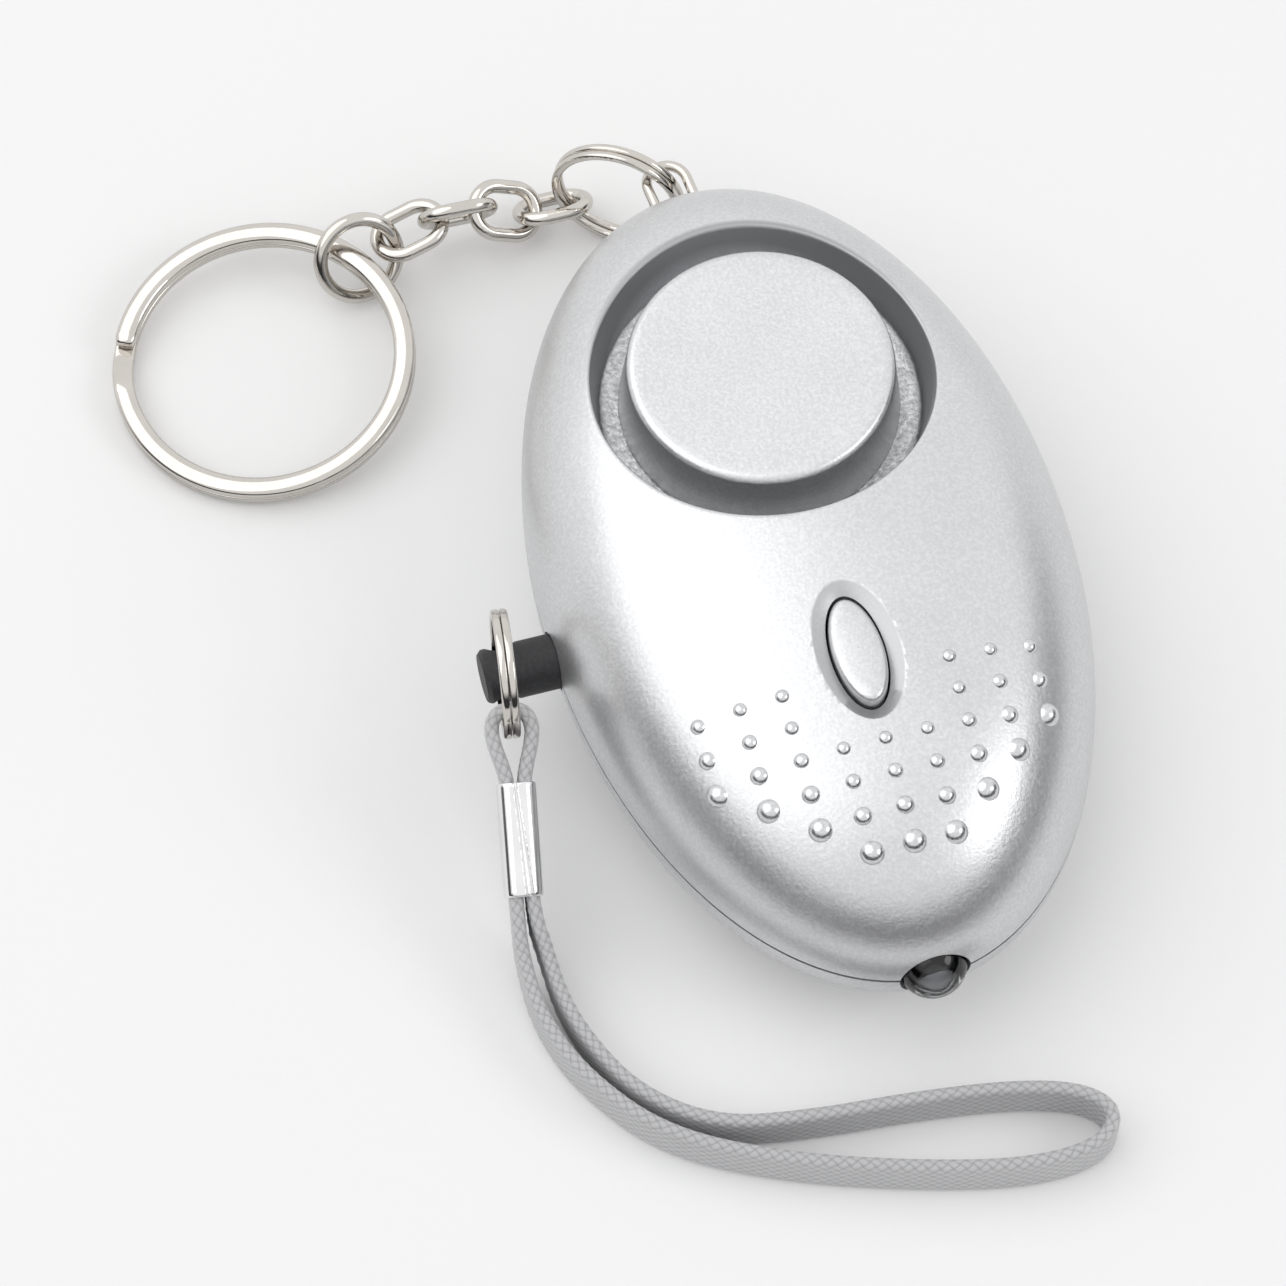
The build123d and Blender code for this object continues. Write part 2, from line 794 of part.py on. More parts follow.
def button_cell(index):
    """One cell of the stack, with a rounded rim."""
    x = -stack_length / 2 + index * cell_thickness
    cell = cylinder((x, cell_y, cell_z), (1, 0, 0), cell_diameter, cell_thickness)
    return fillet(cell.edges().sort_by(Axis.X)[0], cell_thickness / 9)


def battery_plate():
    """Flat contact at the +X end of the cells."""
    x = stack_length / 2
    return block(
        (x, cell_y - contact_width / 2, cell_z - contact_height / 2),
        (x + contact_thickness, cell_y + contact_width / 2, cell_z + contact_height / 2),
    )


def battery_spring():
    """Bent leaf spring that presses the cells together from -X."""
    near = -stack_length / 2 - contact_thickness
    far = near - spring_reach
    quarter = contact_width / 4
    outline = Polyline(
        (far, cell_y - 2 * quarter),
        (far, cell_y - quarter),
        (near, cell_y - quarter / 2),
        (near, cell_y + quarter / 2),
        (far, cell_y + quarter),
        (far, cell_y + 2 * quarter),
        (far + contact_thickness, cell_y + 2 * quarter),
        (far + contact_thickness, cell_y + quarter + contact_thickness),
        (near + contact_thickness, cell_y + quarter / 2 + contact_thickness),
        (near + contact_thickness, cell_y - quarter / 2 - contact_thickness),
        (far + contact_thickness, cell_y - quarter - contact_thickness),
        (far + contact_thickness, cell_y - 2 * quarter),
        close=True,
    )
    return Pos(0, 0, cell_z - spring_height / 2) * extrude(make_face(outline), spring_height)


def pin_socket():
    """Block that guides the pin's stem and carries the two contacts."""
    body = block(
        (socket_outer_x, pin_y - socket_half_width, socket_bottom_z),
        (socket_inner_x, pin_y + socket_half_width, socket_top_z),
    )
    bore = cylinder(
        (socket_outer_x - overrun, pin_y, parting_z),
        (1, 0, 0),
        pin_stem_diameter + 2 * pin_clearance,
        pin_tip_x - socket_outer_x + overrun + fit_gap,
    )
    chamber = block(
        (chamber_outer_x, pin_y - chamber_half_width, parting_z - chamber_half_height),
        (chamber_inner_x, pin_y + chamber_half_width, parting_z + chamber_half_height),
    )
    exit_slot = block(
        (chamber_outer_x, pin_y - socket_half_width - overrun, parting_z - chamber_half_height),
        (chamber_inner_x, pin_y, parting_z + chamber_half_height),
    )
    return body.cut(bore, chamber, exit_slot)


def pin_contact(side):
    """A contact strip above or below the pin's stem, with a tail for its wire."""
    x = (chamber_outer_x + chamber_inner_x) / 2
    near = parting_z + side * (pin_stem_diameter / 2 + strip_gap)
    far = near + side * strip_thickness
    return block(
        (x - strip_width / 2, pin_y - socket_half_width - strip_tail, min(near, far)),
        (x + strip_width / 2, pin_y + chamber_half_width, max(near, far)),
    )


def pull_pin():
    """Pull pin: grip with a cross hole outside, thin stem inside."""
    grip = cylinder(
        (pin_outer_x, pin_y, parting_z), (1, 0, 0), pin_diameter, pin_shoulder_x - pin_outer_x
    )
    grip = chamfer(grip.edges().sort_by(Axis.X)[0], pin_chamfer)
    stem = cylinder(
        (pin_shoulder_x, pin_y, parting_z), (1, 0, 0), pin_stem_diameter, pin_tip_x - pin_shoulder_x
    )
    axis = strap_ring_tangent()
    start = Vector(pin_hole_x, pin_y, parting_z) - axis * pin_diameter
    return (grip + stem) - cylinder(start, axis, pin_hole_diameter, 2 * pin_diameter)


def strap_ring_normal():
    """The strap ring's axis, along the pin and turned a little in plan."""
    return heading_vector(strap_ring_turn)


def strap_ring_outward():
    """From the strap ring's centre to the pin."""
    side = Vector(-sin(radians(strap_ring_turn)), cos(radians(strap_ring_turn)), 0)
    lean = radians(strap_ring_lean)
    return side * cos(lean) - Vector(0, 0, 1) * sin(lean)


def strap_ring_tangent():
    """The strap ring's direction where it passes through the pin."""
    return strap_ring_normal().cross(strap_ring_outward())


def strap_ring_centre():
    """The middle of the strap ring, beside and over the pin."""
    return Vector(pin_hole_x, pin_y, parting_z) - strap_ring_outward() * strap_ring_radius


def upright_turn(section, radius, level, start_angle, span):
    """A flat arc of wire of a section, about Z."""
    plane = Plane(origin=(radius, 0, level), x_dir=(1, 0, 0), z_dir=(0, -1, 0))
    turned = revolve(plane * section, Axis.Z, span)
    return Rot(0, 0, start_angle) * turned


def wire_loop(centre, along, normal, length, width, wire):
    """A closed link of round wire, oval or round, in a plane."""
    plane = Plane(origin=centre, x_dir=along, z_dir=normal)
    bend = (width - wire) / 2
    straight = (length - width) / 2
    round_wire = Circle(wire / 2)
    if straight <= 0:
        start = Plane(origin=(bend, 0, 0), x_dir=(1, 0, 0), z_dir=(0, 1, 0))
        return plane.location * revolve(start * round_wire, Axis.Z)
    pieces = []
    for side in (-1, 1):
        start = Plane(origin=(side * straight, -side * bend, 0), x_dir=(0, 1, 0), z_dir=(side, 0, 0))
        axis = Axis((side * straight, 0, 0), (0, 0, 1))
        pieces.append(revolve(start * round_wire, axis, 180))
        leg = Plane(origin=(-straight, side * bend, 0), z_dir=(1, 0, 0))
        pieces.append(leg * extrude(round_wire, 2 * straight))
    whole = pieces[0].fuse(*pieces[1:])
    return plane.location * whole


# Places of the chain, link by link
def link_frame(heading, climb, roll):
    """Directions of a link: along it, across its plane, and the tangent of its end wire."""
    along = heading_vector(heading, climb)
    side = Vector(-sin(radians(heading)), cos(radians(heading)), 0)
    up = along.cross(side)
    normal = up * cos(radians(roll)) + side * sin(radians(roll))
    return along, normal, normal.cross(along)


def body_ring_frame():
    """The small ring's axis, and the directions that its angles are counted from."""
    normal = heading_vector(body_ring_heading, body_ring_tilt)
    level = Vector(0, 0, 1).cross(normal).normalized()
    return normal, level, normal.cross(level)


def body_ring_centre():
    """The middle of the small ring, from the bail's post."""
    return Vector(0, bail_post_y, parting_z) + Vector(*body_ring_offset)


def body_ring_point(angle):
    """A place on the small ring's centreline, and the wire's direction there."""
    _, level, rise = body_ring_frame()
    turn = radians(angle)
    out = level * cos(turn) + rise * sin(turn)
    tangent = rise * cos(turn) - level * sin(turn)
    return body_ring_centre() + out * body_ring_radius, tangent


def chain_places():
    """Centre, frame and hinge of each oval link, then of the round link."""
    wire_spot, tangent = body_ring_point(body_ring_link_angle)
    reach = chain_length / 2 - chain_wire / 2
    places = []
    hinge = wire_spot
    before = None
    for heading, climb, roll in zip(chain_headings, chain_climbs, chain_rolls):
        along, normal, across = link_frame(heading, climb, roll)
        if before is None:
            pull = (along - tangent * along.dot(tangent)).normalized()
            gap = body_ring_wire * ring_pair_share + chain_slack + chain_wire / 2
        else:
            pull = (before + along).normalized()
            gap = chain_wire + chain_slack
        centre = hinge - pull * gap + along * reach
        places.append((centre, along, normal, hinge, tangent))
        hinge = centre + along * reach
        tangent = across
        before = along
    normal = heading_vector(round_link_heading, round_link_tilt)
    along = (before - normal * before.dot(normal)).normalized()
    pull = (before + along).normalized()
    centre = hinge - pull * (chain_wire + chain_slack) + along * round_link_radius
    places.append((centre, along, normal, hinge, tangent))
    return places


def key_ring_frame():
    """Centre and axis of the key ring, and where it passes through the round link."""
    through = chain_places()[-1][0]
    flat = heading_vector(key_ring_heading)
    tilt = radians(key_ring_tilt)
    away = flat * cos(tilt) - Vector(0, 0, 1) * sin(tilt)
    normal = flat * sin(tilt) + Vector(0, 0, 1) * cos(tilt)
    centre = through + away * (key_ring_radius + key_ring_offset) - Vector(0, 0, key_ring_drop)
    return centre, normal, away


def turned_ring(centre, normal, start, radius, pitch, section):
    """A split ring of two flat turns, joined by one leaning step."""
    base = Plane(origin=centre, x_dir=start, z_dir=normal)
    half_step = ring_step_span / 2
    flat_span = 360.0 - ring_step_span
    lower = upright_turn(section, radius, -pitch / 2, half_step, flat_span)
    upper = upright_turn(section, radius, pitch / 2, half_step, flat_span)
    stages = []
    for index in range(ring_step_stages + 1):
        share = index / ring_step_stages
        level = pitch * (share**2 * (3 - 2 * share) - 1 / 2)
        plane = Plane(origin=(radius, 0, level), x_dir=(1, 0, 0), z_dir=(0, -1, 0))
        stages.append(Rot(0, 0, ring_step_span * (share - 1 / 2)) * (plane * section))
    step = loft(stages)
    return base.location * lower.fuse(upper, step)


def strap_pose():
    """Where the strap meets its ring, its direction, its up and its side."""
    normal = strap_ring_normal()
    inward = strap_ring_outward()
    low = inward.rotate(Axis((0, 0, 0), normal), strap_turn())
    spot = strap_ring_centre() + low * strap_ring_radius
    along = heading_vector(strap_heading, strap_slope)
    side = Vector(0, 0, 1).cross(along).normalized()
    return spot, along, along.cross(side), side


def strap_turn():
    """The angle round the strap ring from the pin to where the strap hangs."""
    side = Vector(-sin(radians(strap_ring_turn)), cos(radians(strap_ring_turn)), 0)
    hang = -side * cos(radians(-strap_slope)) - Vector(0, 0, 1) * sin(radians(-strap_slope))
    angle = degrees(acos(max(-1.0, min(1.0, hang.dot(strap_ring_outward())))))
    return -angle if strap_ring_normal().cross(strap_ring_outward()).dot(hang) < 0 else angle


def strap_eye():
    """The strap folded over its ring: two strands from the crimp's far end, and the fold."""
    spot, along, up, side = strap_pose()
    plane = Plane(origin=spot - up * (strap_width / 2) - along * eye_shift, x_dir=along, z_dir=up)
    outer = eye_inner_radius + strap_thickness
    inner_half = strap_gap / 2
    neck = crimp_start + eye_shift
    end = neck + crimp_length - strap_joint
    strand = inner_half + strap_thickness
    fold = Circle(outer) - Circle(eye_inner_radius)
    fold -= Pos(outer, 0) * Rectangle(2 * outer, 4 * outer)
    pieces = [fold]
    for way in (-1, 1):
        cheek = Polyline(
            (0, way * eye_inner_radius),
            (neck, way * inner_half),
            (end, way * inner_half),
            (end, way * strand),
            (neck, way * strand),
            (0, way * outer),
            close=True,
        )
        pieces.append(make_face(cheek))
    return plane.location * extrude(pieces[0].fuse(*pieces[1:]), strap_width)


def strap_crimp():
    """Metal clip pressed round the two strands."""
    spot, along, up, side = strap_pose()
    plane = Plane(origin=spot + along * crimp_start, x_dir=side, z_dir=along)
    inner_x = 2 * strap_thickness + strap_gap + 2 * fit_gap / 3
    inner_y = strap_width + 2 * fit_gap / 3
    outer = RectangleRounded(inner_x + 2 * crimp_wall, inner_y + 2 * crimp_wall, crimp_round)
    return plane.location * extrude(outer - Rectangle(inner_x, inner_y), crimp_length)


def strap_points():
    """The loop's route, from one strand at the crimp round to the other."""
    spot, along, up, side = strap_pose()
    end = spot + along * (crimp_start + crimp_length)
    half = (strap_thickness + strap_gap) / 2
    outer = end - side * half
    inner = end + side * half
    if outer.X > inner.X:
        outer, inner = inner, outer
    ends = [[place - along * strap_joint, place + along * strap_lead] for place in (outer, inner)]
    return [*ends[0], *[Vector(*point) for point in strap_route], *reversed(ends[1])]


def bend_radii(points):
    """The arc at each inner point: a share of its shorter run over the tangent of half the turn."""
    radii = []
    for before, here, after in zip(points, points[1:], points[2:]):
        turn = radians((here - before).get_angle(after - here))
        run = min((here - before).length, (after - here).length)
        radii.append(bend_share * run / tan(turn / 2))
    return radii


def strap_loop():
    """The wrist loop: flat strap on edge, along straight runs and tangent arcs."""
    points = strap_points()
    radii = bend_radii(points)
    print("strap radii", [round(radius, 1) for radius in radii])
    path = FilletPolyline(*points, radius=radii)
    along = points[1] - points[0]
    start = Plane(origin=points[0], x_dir=along.cross(Vector(0, 0, 1)), z_dir=along)
    loop = sweep(start * Rectangle(strap_thickness, strap_width), path=path)
    expected = strap_thickness * strap_width * path.length
    print("strap length", round(path.length, 1))
    print("strap volume", round(loop.volume), "section x length", round(expected))
    return loop


def bail_link():
    """Wire bail that turns on its post and comes out of the end slot."""
    width = bail_inner_width + 2 * bail_wire
    along = heading_vector(90.0 + bail_lean)
    inner_half = bail_inner_width / 2
    near = Vector(0, bail_post_y, parting_z)
    slack = inner_half - bail_post_diameter / 2 - fit_gap
    centre = near + along * (bail_reach / 2 + slack)
    return wire_loop(centre, along, (0, 0, 1), bail_reach + width, width, bail_wire)


def main():
    """Builds and writes every piece."""
    save("front_shell", front_shell())
    save("rear_shell", rear_shell())
    save("sounder_cap", sounder_cap())
    save("torch_button", torch_button())
    save("torch_lamp", lamp())
    save("lamp_leads", lamp_leads())
    save("circuit_board", circuit_board())
    save("switch_body", switch_body())
    save("switch_plunger", switch_plunger())
    save("controller_chip", on_board(*on_body(chip_share), chip_width, chip_length, chip_height))
    small = [
        on_board(*on_body(share), *size)
        for share, size in zip(small_part_shares, small_part_sizes)
    ]
    save("board_components", Compound(small))
    coil = cylinder((0, coil_y, board_bottom_z), (0, 0, -1), coil_diameter, coil_height)
    save("boost_coil", coil)
    save("board_screws", board_screws())
    save("shell_screws", shell_screws())
    gasket_bore = plate_diameter - 2 * gasket_width
    ceramic_bottom_z = plate_bottom_z - ceramic_thickness
    save("siren_gasket", disc(plate_diameter, plate_top_z, gasket_thickness, gasket_bore))
    save("siren_plate", disc(plate_diameter, plate_bottom_z, plate_thickness))
    save("siren_ceramic", disc(ceramic_diameter, ceramic_bottom_z, ceramic_thickness))
    save("siren_wires", siren_wires())
    for index in range(cell_count):
        save(f"button_cell_{index + 1}", button_cell(index))
    save("battery_plate", battery_plate())
    save("battery_spring", battery_spring())
    save("pin_socket", pin_socket())
    save("pin_fixed_contact", pin_contact(-1))
    save("pin_leaf_contact", pin_contact(1))
    save("pull_pin", pull_pin())
    strap_section = Rectangle(strap_ring_wire, strap_ring_wire)
    strap_section = fillet(strap_section.vertices(), strap_ring_wire * ring_round_share)
    save(
        "strap_ring",
        turned_ring(
            strap_ring_centre(),
            strap_ring_normal(),
            strap_ring_outward(),
            strap_ring_radius,
            strap_ring_wire + turn_gap,
            strap_section,
        ),
    )
    save("strap_eye", strap_eye())
    save("strap_crimp", strap_crimp())
    save("strap_loop", strap_loop())
    save("bail_link", bail_link())
    normal, level, rise = body_ring_frame()
    step = radians(body_ring_step_angle)
    body_section = Rectangle(body_ring_wire, body_ring_wire)
    body_section = fillet(body_section.vertices(), body_ring_wire * ring_round_share)
    save(
        "body_ring",
        turned_ring(
            body_ring_centre(),
            normal,
            level * cos(step) + rise * sin(step),
            body_ring_radius,
            body_ring_wire + turn_gap,
            body_section,
        ),
    )
    places = chain_places()
    for index, (centre, along, normal, hinge, tangent) in enumerate(places[:-1]):
        save(
            f"chain_link_{index + 1}",
            wire_loop(centre, along, normal, chain_length, chain_width, chain_wire),
        )
        print("chain link", index + 1, "hinge", hinge, "axis", tangent)
    centre, along, normal, hinge, tangent = places[-1]
    round_size = 2 * round_link_radius + chain_wire
    round_link = wire_loop(centre, along, normal, round_size, round_size, chain_wire)
    save(f"chain_link_{len(places)}", round_link)
    print("chain link", len(places), "hinge", hinge, "axis", tangent)
    key_centre, key_normal, key_away = key_ring_frame()
    key_section = fillet(Rectangle(key_ring_band, key_ring_coil).vertices(), key_ring_round)
    key_start = key_away.rotate(Axis((0, 0, 0), key_normal), key_ring_step_angle)
    save(
        "key_ring",
        turned_ring(
            key_centre, key_normal, key_start, key_ring_radius, key_ring_coil + turn_gap, key_section
        ),
    )
    print("key ring hinge", centre, "axis", key_normal.cross(key_away))
    print("strap hinge", strap_pose()[0], "axis", strap_pose()[2])
    print("strap ring hinge", Vector(pin_hole_x, pin_y, parting_z), "axis", strap_ring_tangent())
    print("body ring contact", body_ring_point(body_ring_bail_angle))


main()
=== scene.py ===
from math import acos, atan2, cos, floor, pi, radians, sin, sqrt

import bmesh
import bpy
from mathutils import Matrix, Vector


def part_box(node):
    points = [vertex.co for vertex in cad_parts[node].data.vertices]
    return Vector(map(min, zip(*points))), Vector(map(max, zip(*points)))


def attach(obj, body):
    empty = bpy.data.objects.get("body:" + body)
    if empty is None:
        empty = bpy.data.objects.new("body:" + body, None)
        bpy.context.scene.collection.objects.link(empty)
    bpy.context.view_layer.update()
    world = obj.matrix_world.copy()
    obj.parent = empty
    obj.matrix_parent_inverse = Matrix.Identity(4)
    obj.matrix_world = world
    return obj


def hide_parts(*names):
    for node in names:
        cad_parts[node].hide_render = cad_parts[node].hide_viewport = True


bl_info = {
    "name": "Personal Safety Alarm",
    "version": (1, 0, 0),
    "blender": (4, 5, 0),
    "location": "View3D > Sidebar > Alarm",
    "description": "Dresses the alarm's shells, torch, pull pin, wrist strap, chain and key ring",
    "category": "Add Mesh",
}

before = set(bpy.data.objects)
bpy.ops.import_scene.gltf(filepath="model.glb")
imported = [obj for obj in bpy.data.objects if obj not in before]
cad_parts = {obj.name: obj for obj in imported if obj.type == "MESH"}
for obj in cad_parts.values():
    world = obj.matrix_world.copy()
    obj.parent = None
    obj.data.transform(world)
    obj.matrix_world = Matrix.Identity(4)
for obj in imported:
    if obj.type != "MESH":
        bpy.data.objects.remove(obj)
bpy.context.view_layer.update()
MM = 0.001
SQUARE = ((-1, -1), (1, -1), (1, 1), (-1, 1))

# The egg's outline in plan and its parting plane, in millimetres
PARTING_Z = 8.5
HALF_WIDTH = 19.55
HALF_LENGTH = 33.0

# Radii of each shell's section: its face, its side and the corner between them
FRONT_RADII = (48.0, 76.0, 10.2)
REAR_RADII = (80.0, 78.0, 7.6)
GROOVE = 0.3
BEVEL_REACH = 1.2

# How high a yarn of the braid stands where the other family leaves it free, and what that adds
YARN_FLANK = 0.55
YARN_CROWN = 0.45
YARN_LEVEL = 0.75

# The holes that both shells share, in millimetres
PIN_HOLE_Y = -1.7
PIN_HOLE_RADIUS = 2.2
LAMP_HOLE_RADIUS = 2.6
ROUND_HOLE_DEPTH = 1.5
BAIL_SLOT_HALF_WIDTH = 2.9
BAIL_SLOT_HALF_HEIGHT = 0.65
BAIL_SLOT_DEPTH = 2.2

# The shell screws: across, along and the underside of the head, in millimetres
SCREW_PLACES = (
    (9.5, -21.6, 2.4),
    (-9.5, -21.6, 2.4),
    (7.28, 25.98, 3.5),
    (-7.28, 25.98, 3.5),
)
SCREW_SEAT_RADIUS = 1.6
SCREW_SEAT_DEPTH = 0.5

# The middles of the key ring and the strap's ring in millimetres, the way each one's axis points,
# and the way from its middle to the next link or the pin
KEY_RING_PLACE = (-33.196, 32.08, 2.158)
KEY_RING_NORMAL = (-0.08614, -0.05921, 0.99452)
KEY_RING_AWAY = (-0.81961, -0.5633, -0.10453)
KEY_RING_SPLIT_DEGREES = -46.0
STRAP_RING_PLACE = (-23.588, -3.745, 12.385)
STRAP_RING_NORMAL = (0.99027, -0.13917, 0.0)
STRAP_RING_PIN_WAY = (0.06534, 0.4649, -0.88295)

# The strap's route, in millimetres: out of the crimp, round the end and back
STRAP_ROUTE = (
    (-26.38, -16.54, 6.14),
    (-26.84, -19.02, 4.94),
    (-27.25, -22.0, 3.2),
    (-27.1, -26.4, 2.15),
    (-25.3, -31.6, 2.1),
    (-20.9, -37.5, 2.1),
    (-13.2, -41.6, 2.1),
    (-4.2, -44.7, 2.1),
    (3.2, -46.5, 2.1),
    (8.3, -46.3, 2.1),
    (10.3, -44.3, 2.1),
    (8.5, -42.0, 2.1),
    (3.8, -40.5, 2.1),
    (-3.2, -39.5, 2.1),
    (-10.8, -38.9, 2.1),
    (-17.2, -37.7, 2.1),
    (-21.9, -34.0, 2.1),
    (-24.3, -29.2, 2.1),
    (-25.3, -25.3, 2.25),
    (-25.5, -21.8, 3.3),
    (-25.72, -19.23, 4.94),
    (-25.25, -16.74, 6.14),
)

# Where the strap hangs on its ring in millimetres, and the ways along, up and across it
STRAP_SPOT = (-24.1402, -7.6783, 10.4907)
STRAP_ALONG = (-0.166032, -0.887183, -0.430511)
STRAP_UP = (-0.079193, -0.423165, 0.902585)
STRAP_SIDE = (0.982935, -0.183951, 0.0)
CRIMP_START = 3.4
CRIMP_END = 11.6

# The fold round the strap ring, as distances along the strap and to its side, in millimetres
FOLD_ROUTE = (
    (10.1, -0.6), (7.5, -0.6), (4.9, -0.6), (3.4, -0.61), (2.2, -0.86), (0.9, -1.27),
    (-0.4, -1.5), (-1.4, -1.22), (-1.85, -0.45), (-1.85, 0.45), (-1.4, 1.22), (-0.4, 1.5),
    (0.9, 1.27), (2.2, 0.86), (3.4, 0.61), (4.9, 0.6), (7.5, 0.6), (10.1, 0.6),
)


class StrapSizes(bpy.types.PropertyGroup):
    """Sizes of the braided wrist strap."""

    width: bpy.props.FloatProperty(
        name="Width", description="Width of the braid, which stands on edge", default=0.004,
        unit="LENGTH",
    )
    thickness: bpy.props.FloatProperty(
        name="Thickness", description="Thickness of the braid", default=0.001, unit="LENGTH"
    )
    length: bpy.props.FloatProperty(
        name="Loop length", description="Length of the loop from crimp to crimp", default=0.11,
        unit="LENGTH",
    )
    strand_pitch: bpy.props.FloatProperty(
        name="Strand pitch", description="Distance along the braid from one strand to the next",
        default=0.0009, unit="LENGTH",
    )
    strands_around: bpy.props.IntProperty(
        name="Strands around", description="Strands that lean one way round the braid", default=12
    )
    relief: bpy.props.FloatProperty(
        name="Relief", description="How far the strands stand up", default=0.00008, unit="LENGTH"
    )
    ring_step: bpy.props.FloatProperty(
        name="Mesh step", description="Distance between the mesh's rings along the braid",
        default=0.00015, unit="LENGTH",
    )


class ShellSizes(bpy.types.PropertyGroup):
    """Sizes of the two shells, the siren recess and the torch button, as the solids have them."""

    front_rise: bpy.props.FloatProperty(
        name="Front rise", description="Height of the front shell over the parting line",
        default=0.0117, unit="LENGTH",
    )
    rear_rise: bpy.props.FloatProperty(
        name="Rear depth", description="Depth of the rear dome before it is cut flat",
        default=0.0091, unit="LENGTH",
    )
    recess_y: bpy.props.FloatProperty(
        name="Recess place", description="Distance of the siren recess from the middle",
        default=0.0123, unit="LENGTH",
    )
    recess_radius: bpy.props.FloatProperty(
        name="Recess radius", description="Radius of the recess at its floor", default=0.0119,
        unit="LENGTH",
    )
    recess_floor: bpy.props.FloatProperty(
        name="Recess floor", description="Height of the recess floor", default=0.0134,
        unit="LENGTH",
    )
    recess_slope: bpy.props.FloatProperty(
        name="Recess slope", description="How much the recess opens for its height",
        default=0.148,
    )
    rim_round: bpy.props.FloatProperty(
        name="Rim round", description="Rounding of the recess rim", default=0.00035,
        unit="LENGTH",
    )
    cap_y: bpy.props.FloatProperty(
        name="Cap place", description="Distance of the siren cap from the middle",
        default=0.0126, unit="LENGTH",
    )
    cap_base: bpy.props.FloatProperty(
        name="Cap base radius", description="Radius of the siren cap at its foot",
        default=0.01035, unit="LENGTH",
    )
    cap_radius: bpy.props.FloatProperty(
        name="Cap top radius", description="Radius of the siren cap at its top",
        default=0.0098, unit="LENGTH",
    )
    cap_top: bpy.props.FloatProperty(
        name="Cap top", description="Height of the siren cap's top", default=0.0188,
        unit="LENGTH",
    )
    button_y: bpy.props.FloatProperty(
        name="Button place", description="Distance of the torch button from the middle",
        default=-0.012, unit="LENGTH",
    )
    button_width: bpy.props.FloatProperty(
        name="Button width", description="Width of the torch button", default=0.0037,
        unit="LENGTH",
    )
    button_length: bpy.props.FloatProperty(
        name="Button length", description="Length of the torch button", default=0.0084,
        unit="LENGTH",
    )
    button_top: bpy.props.FloatProperty(
        name="Button top", description="Height of the torch button's top", default=0.01975,
        unit="LENGTH",
    )
    dome_pitch: bpy.props.FloatProperty(
        name="Grip column pitch", description="Distance between columns of grip domes",
        default=0.00306, unit="LENGTH",
    )
    dome_row: bpy.props.FloatProperty(
        name="Grip row pitch", description="Distance between rows of grip domes",
        default=0.00245, unit="LENGTH",
    )
    dome_start: bpy.props.FloatProperty(
        name="Grip start", description="Place of the first middle row of grip domes",
        default=-0.01885, unit="LENGTH",
    )


class AlarmColours(bpy.types.PropertyGroup):
    """Colours of the finishes."""

    silver: bpy.props.FloatVectorProperty(
        name="Silver paint", description="Satin silver of the shells", subtype="COLOR",
        default=(0.72, 0.725, 0.735),
    )
    nickel: bpy.props.FloatVectorProperty(
        name="Nickel", description="Plating of the rings and the chain", subtype="COLOR",
        default=(0.63, 0.60, 0.56),
    )
    pin: bpy.props.FloatVectorProperty(
        name="Pull pin", description="Matt black plastic of the pin", subtype="COLOR",
        default=(0.018, 0.018, 0.02),
    )
    braid: bpy.props.FloatVectorProperty(
        name="Braid", description="Light grey yarn of the strap", subtype="COLOR",
        default=(0.54, 0.54, 0.55),
    )
    lens: bpy.props.FloatVectorProperty(
        name="Lamp lens", description="Clear resin of the lamp", subtype="COLOR",
        default=(0.80, 0.82, 0.85),
    )
    board: bpy.props.FloatVectorProperty(
        name="Circuit board", description="Lacquer of the board", subtype="COLOR",
        default=(0.02, 0.11, 0.05),
    )
    floor: bpy.props.FloatVectorProperty(
        name="Floor", description="Pale floor", subtype="COLOR", default=(0.975, 0.975, 0.975)
    )


class StageSettings(bpy.types.PropertyGroup):
    """Camera and light."""

    elevation: bpy.props.FloatProperty(
        name="Elevation", description="Height of the camera's view over the floor",
        subtype="ANGLE", default=radians(61.48),
    )
    azimuth: bpy.props.FloatProperty(
        name="Azimuth", description="Turn of the camera's view to the pin's side",
        subtype="ANGLE", default=radians(19.79),
    )
    roll: bpy.props.FloatProperty(
        name="Roll", description="Roll of the camera", subtype="ANGLE", default=radians(4.0)
    )
    distance: bpy.props.FloatProperty(
        name="Distance", description="Camera to the middle of the parting plane", default=0.4,
        unit="LENGTH",
    )
    focal_pixels: bpy.props.FloatProperty(
        name="Focal length in pixels", description="Focal length for a 1286 pixel frame",
        default=5476.0,
    )
    centre_x: bpy.props.FloatProperty(
        name="Centre across", description="Pixel of the alarm's centre, across", default=805.14
    )
    centre_y: bpy.props.FloatProperty(
        name="Centre down", description="Pixel of the alarm's centre, down", default=579.01
    )
    key_power: bpy.props.FloatProperty(
        name="Key light", description="Power of the large soft lamp", default=1.6, unit="POWER"
    )
    fill_power: bpy.props.FloatProperty(
        name="Fill light", description="Power of the fill lamp", default=0.7, unit="POWER"
    )
    world_level: bpy.props.FloatProperty(
        name="World level", description="Strength of the world's light on the alarm", default=0.6
    )


GROUPS = {
    "alarm_strap": StrapSizes,
    "alarm_shells": ShellSizes,
    "alarm_colours": AlarmColours,
    "alarm_stage": StageSettings,
}


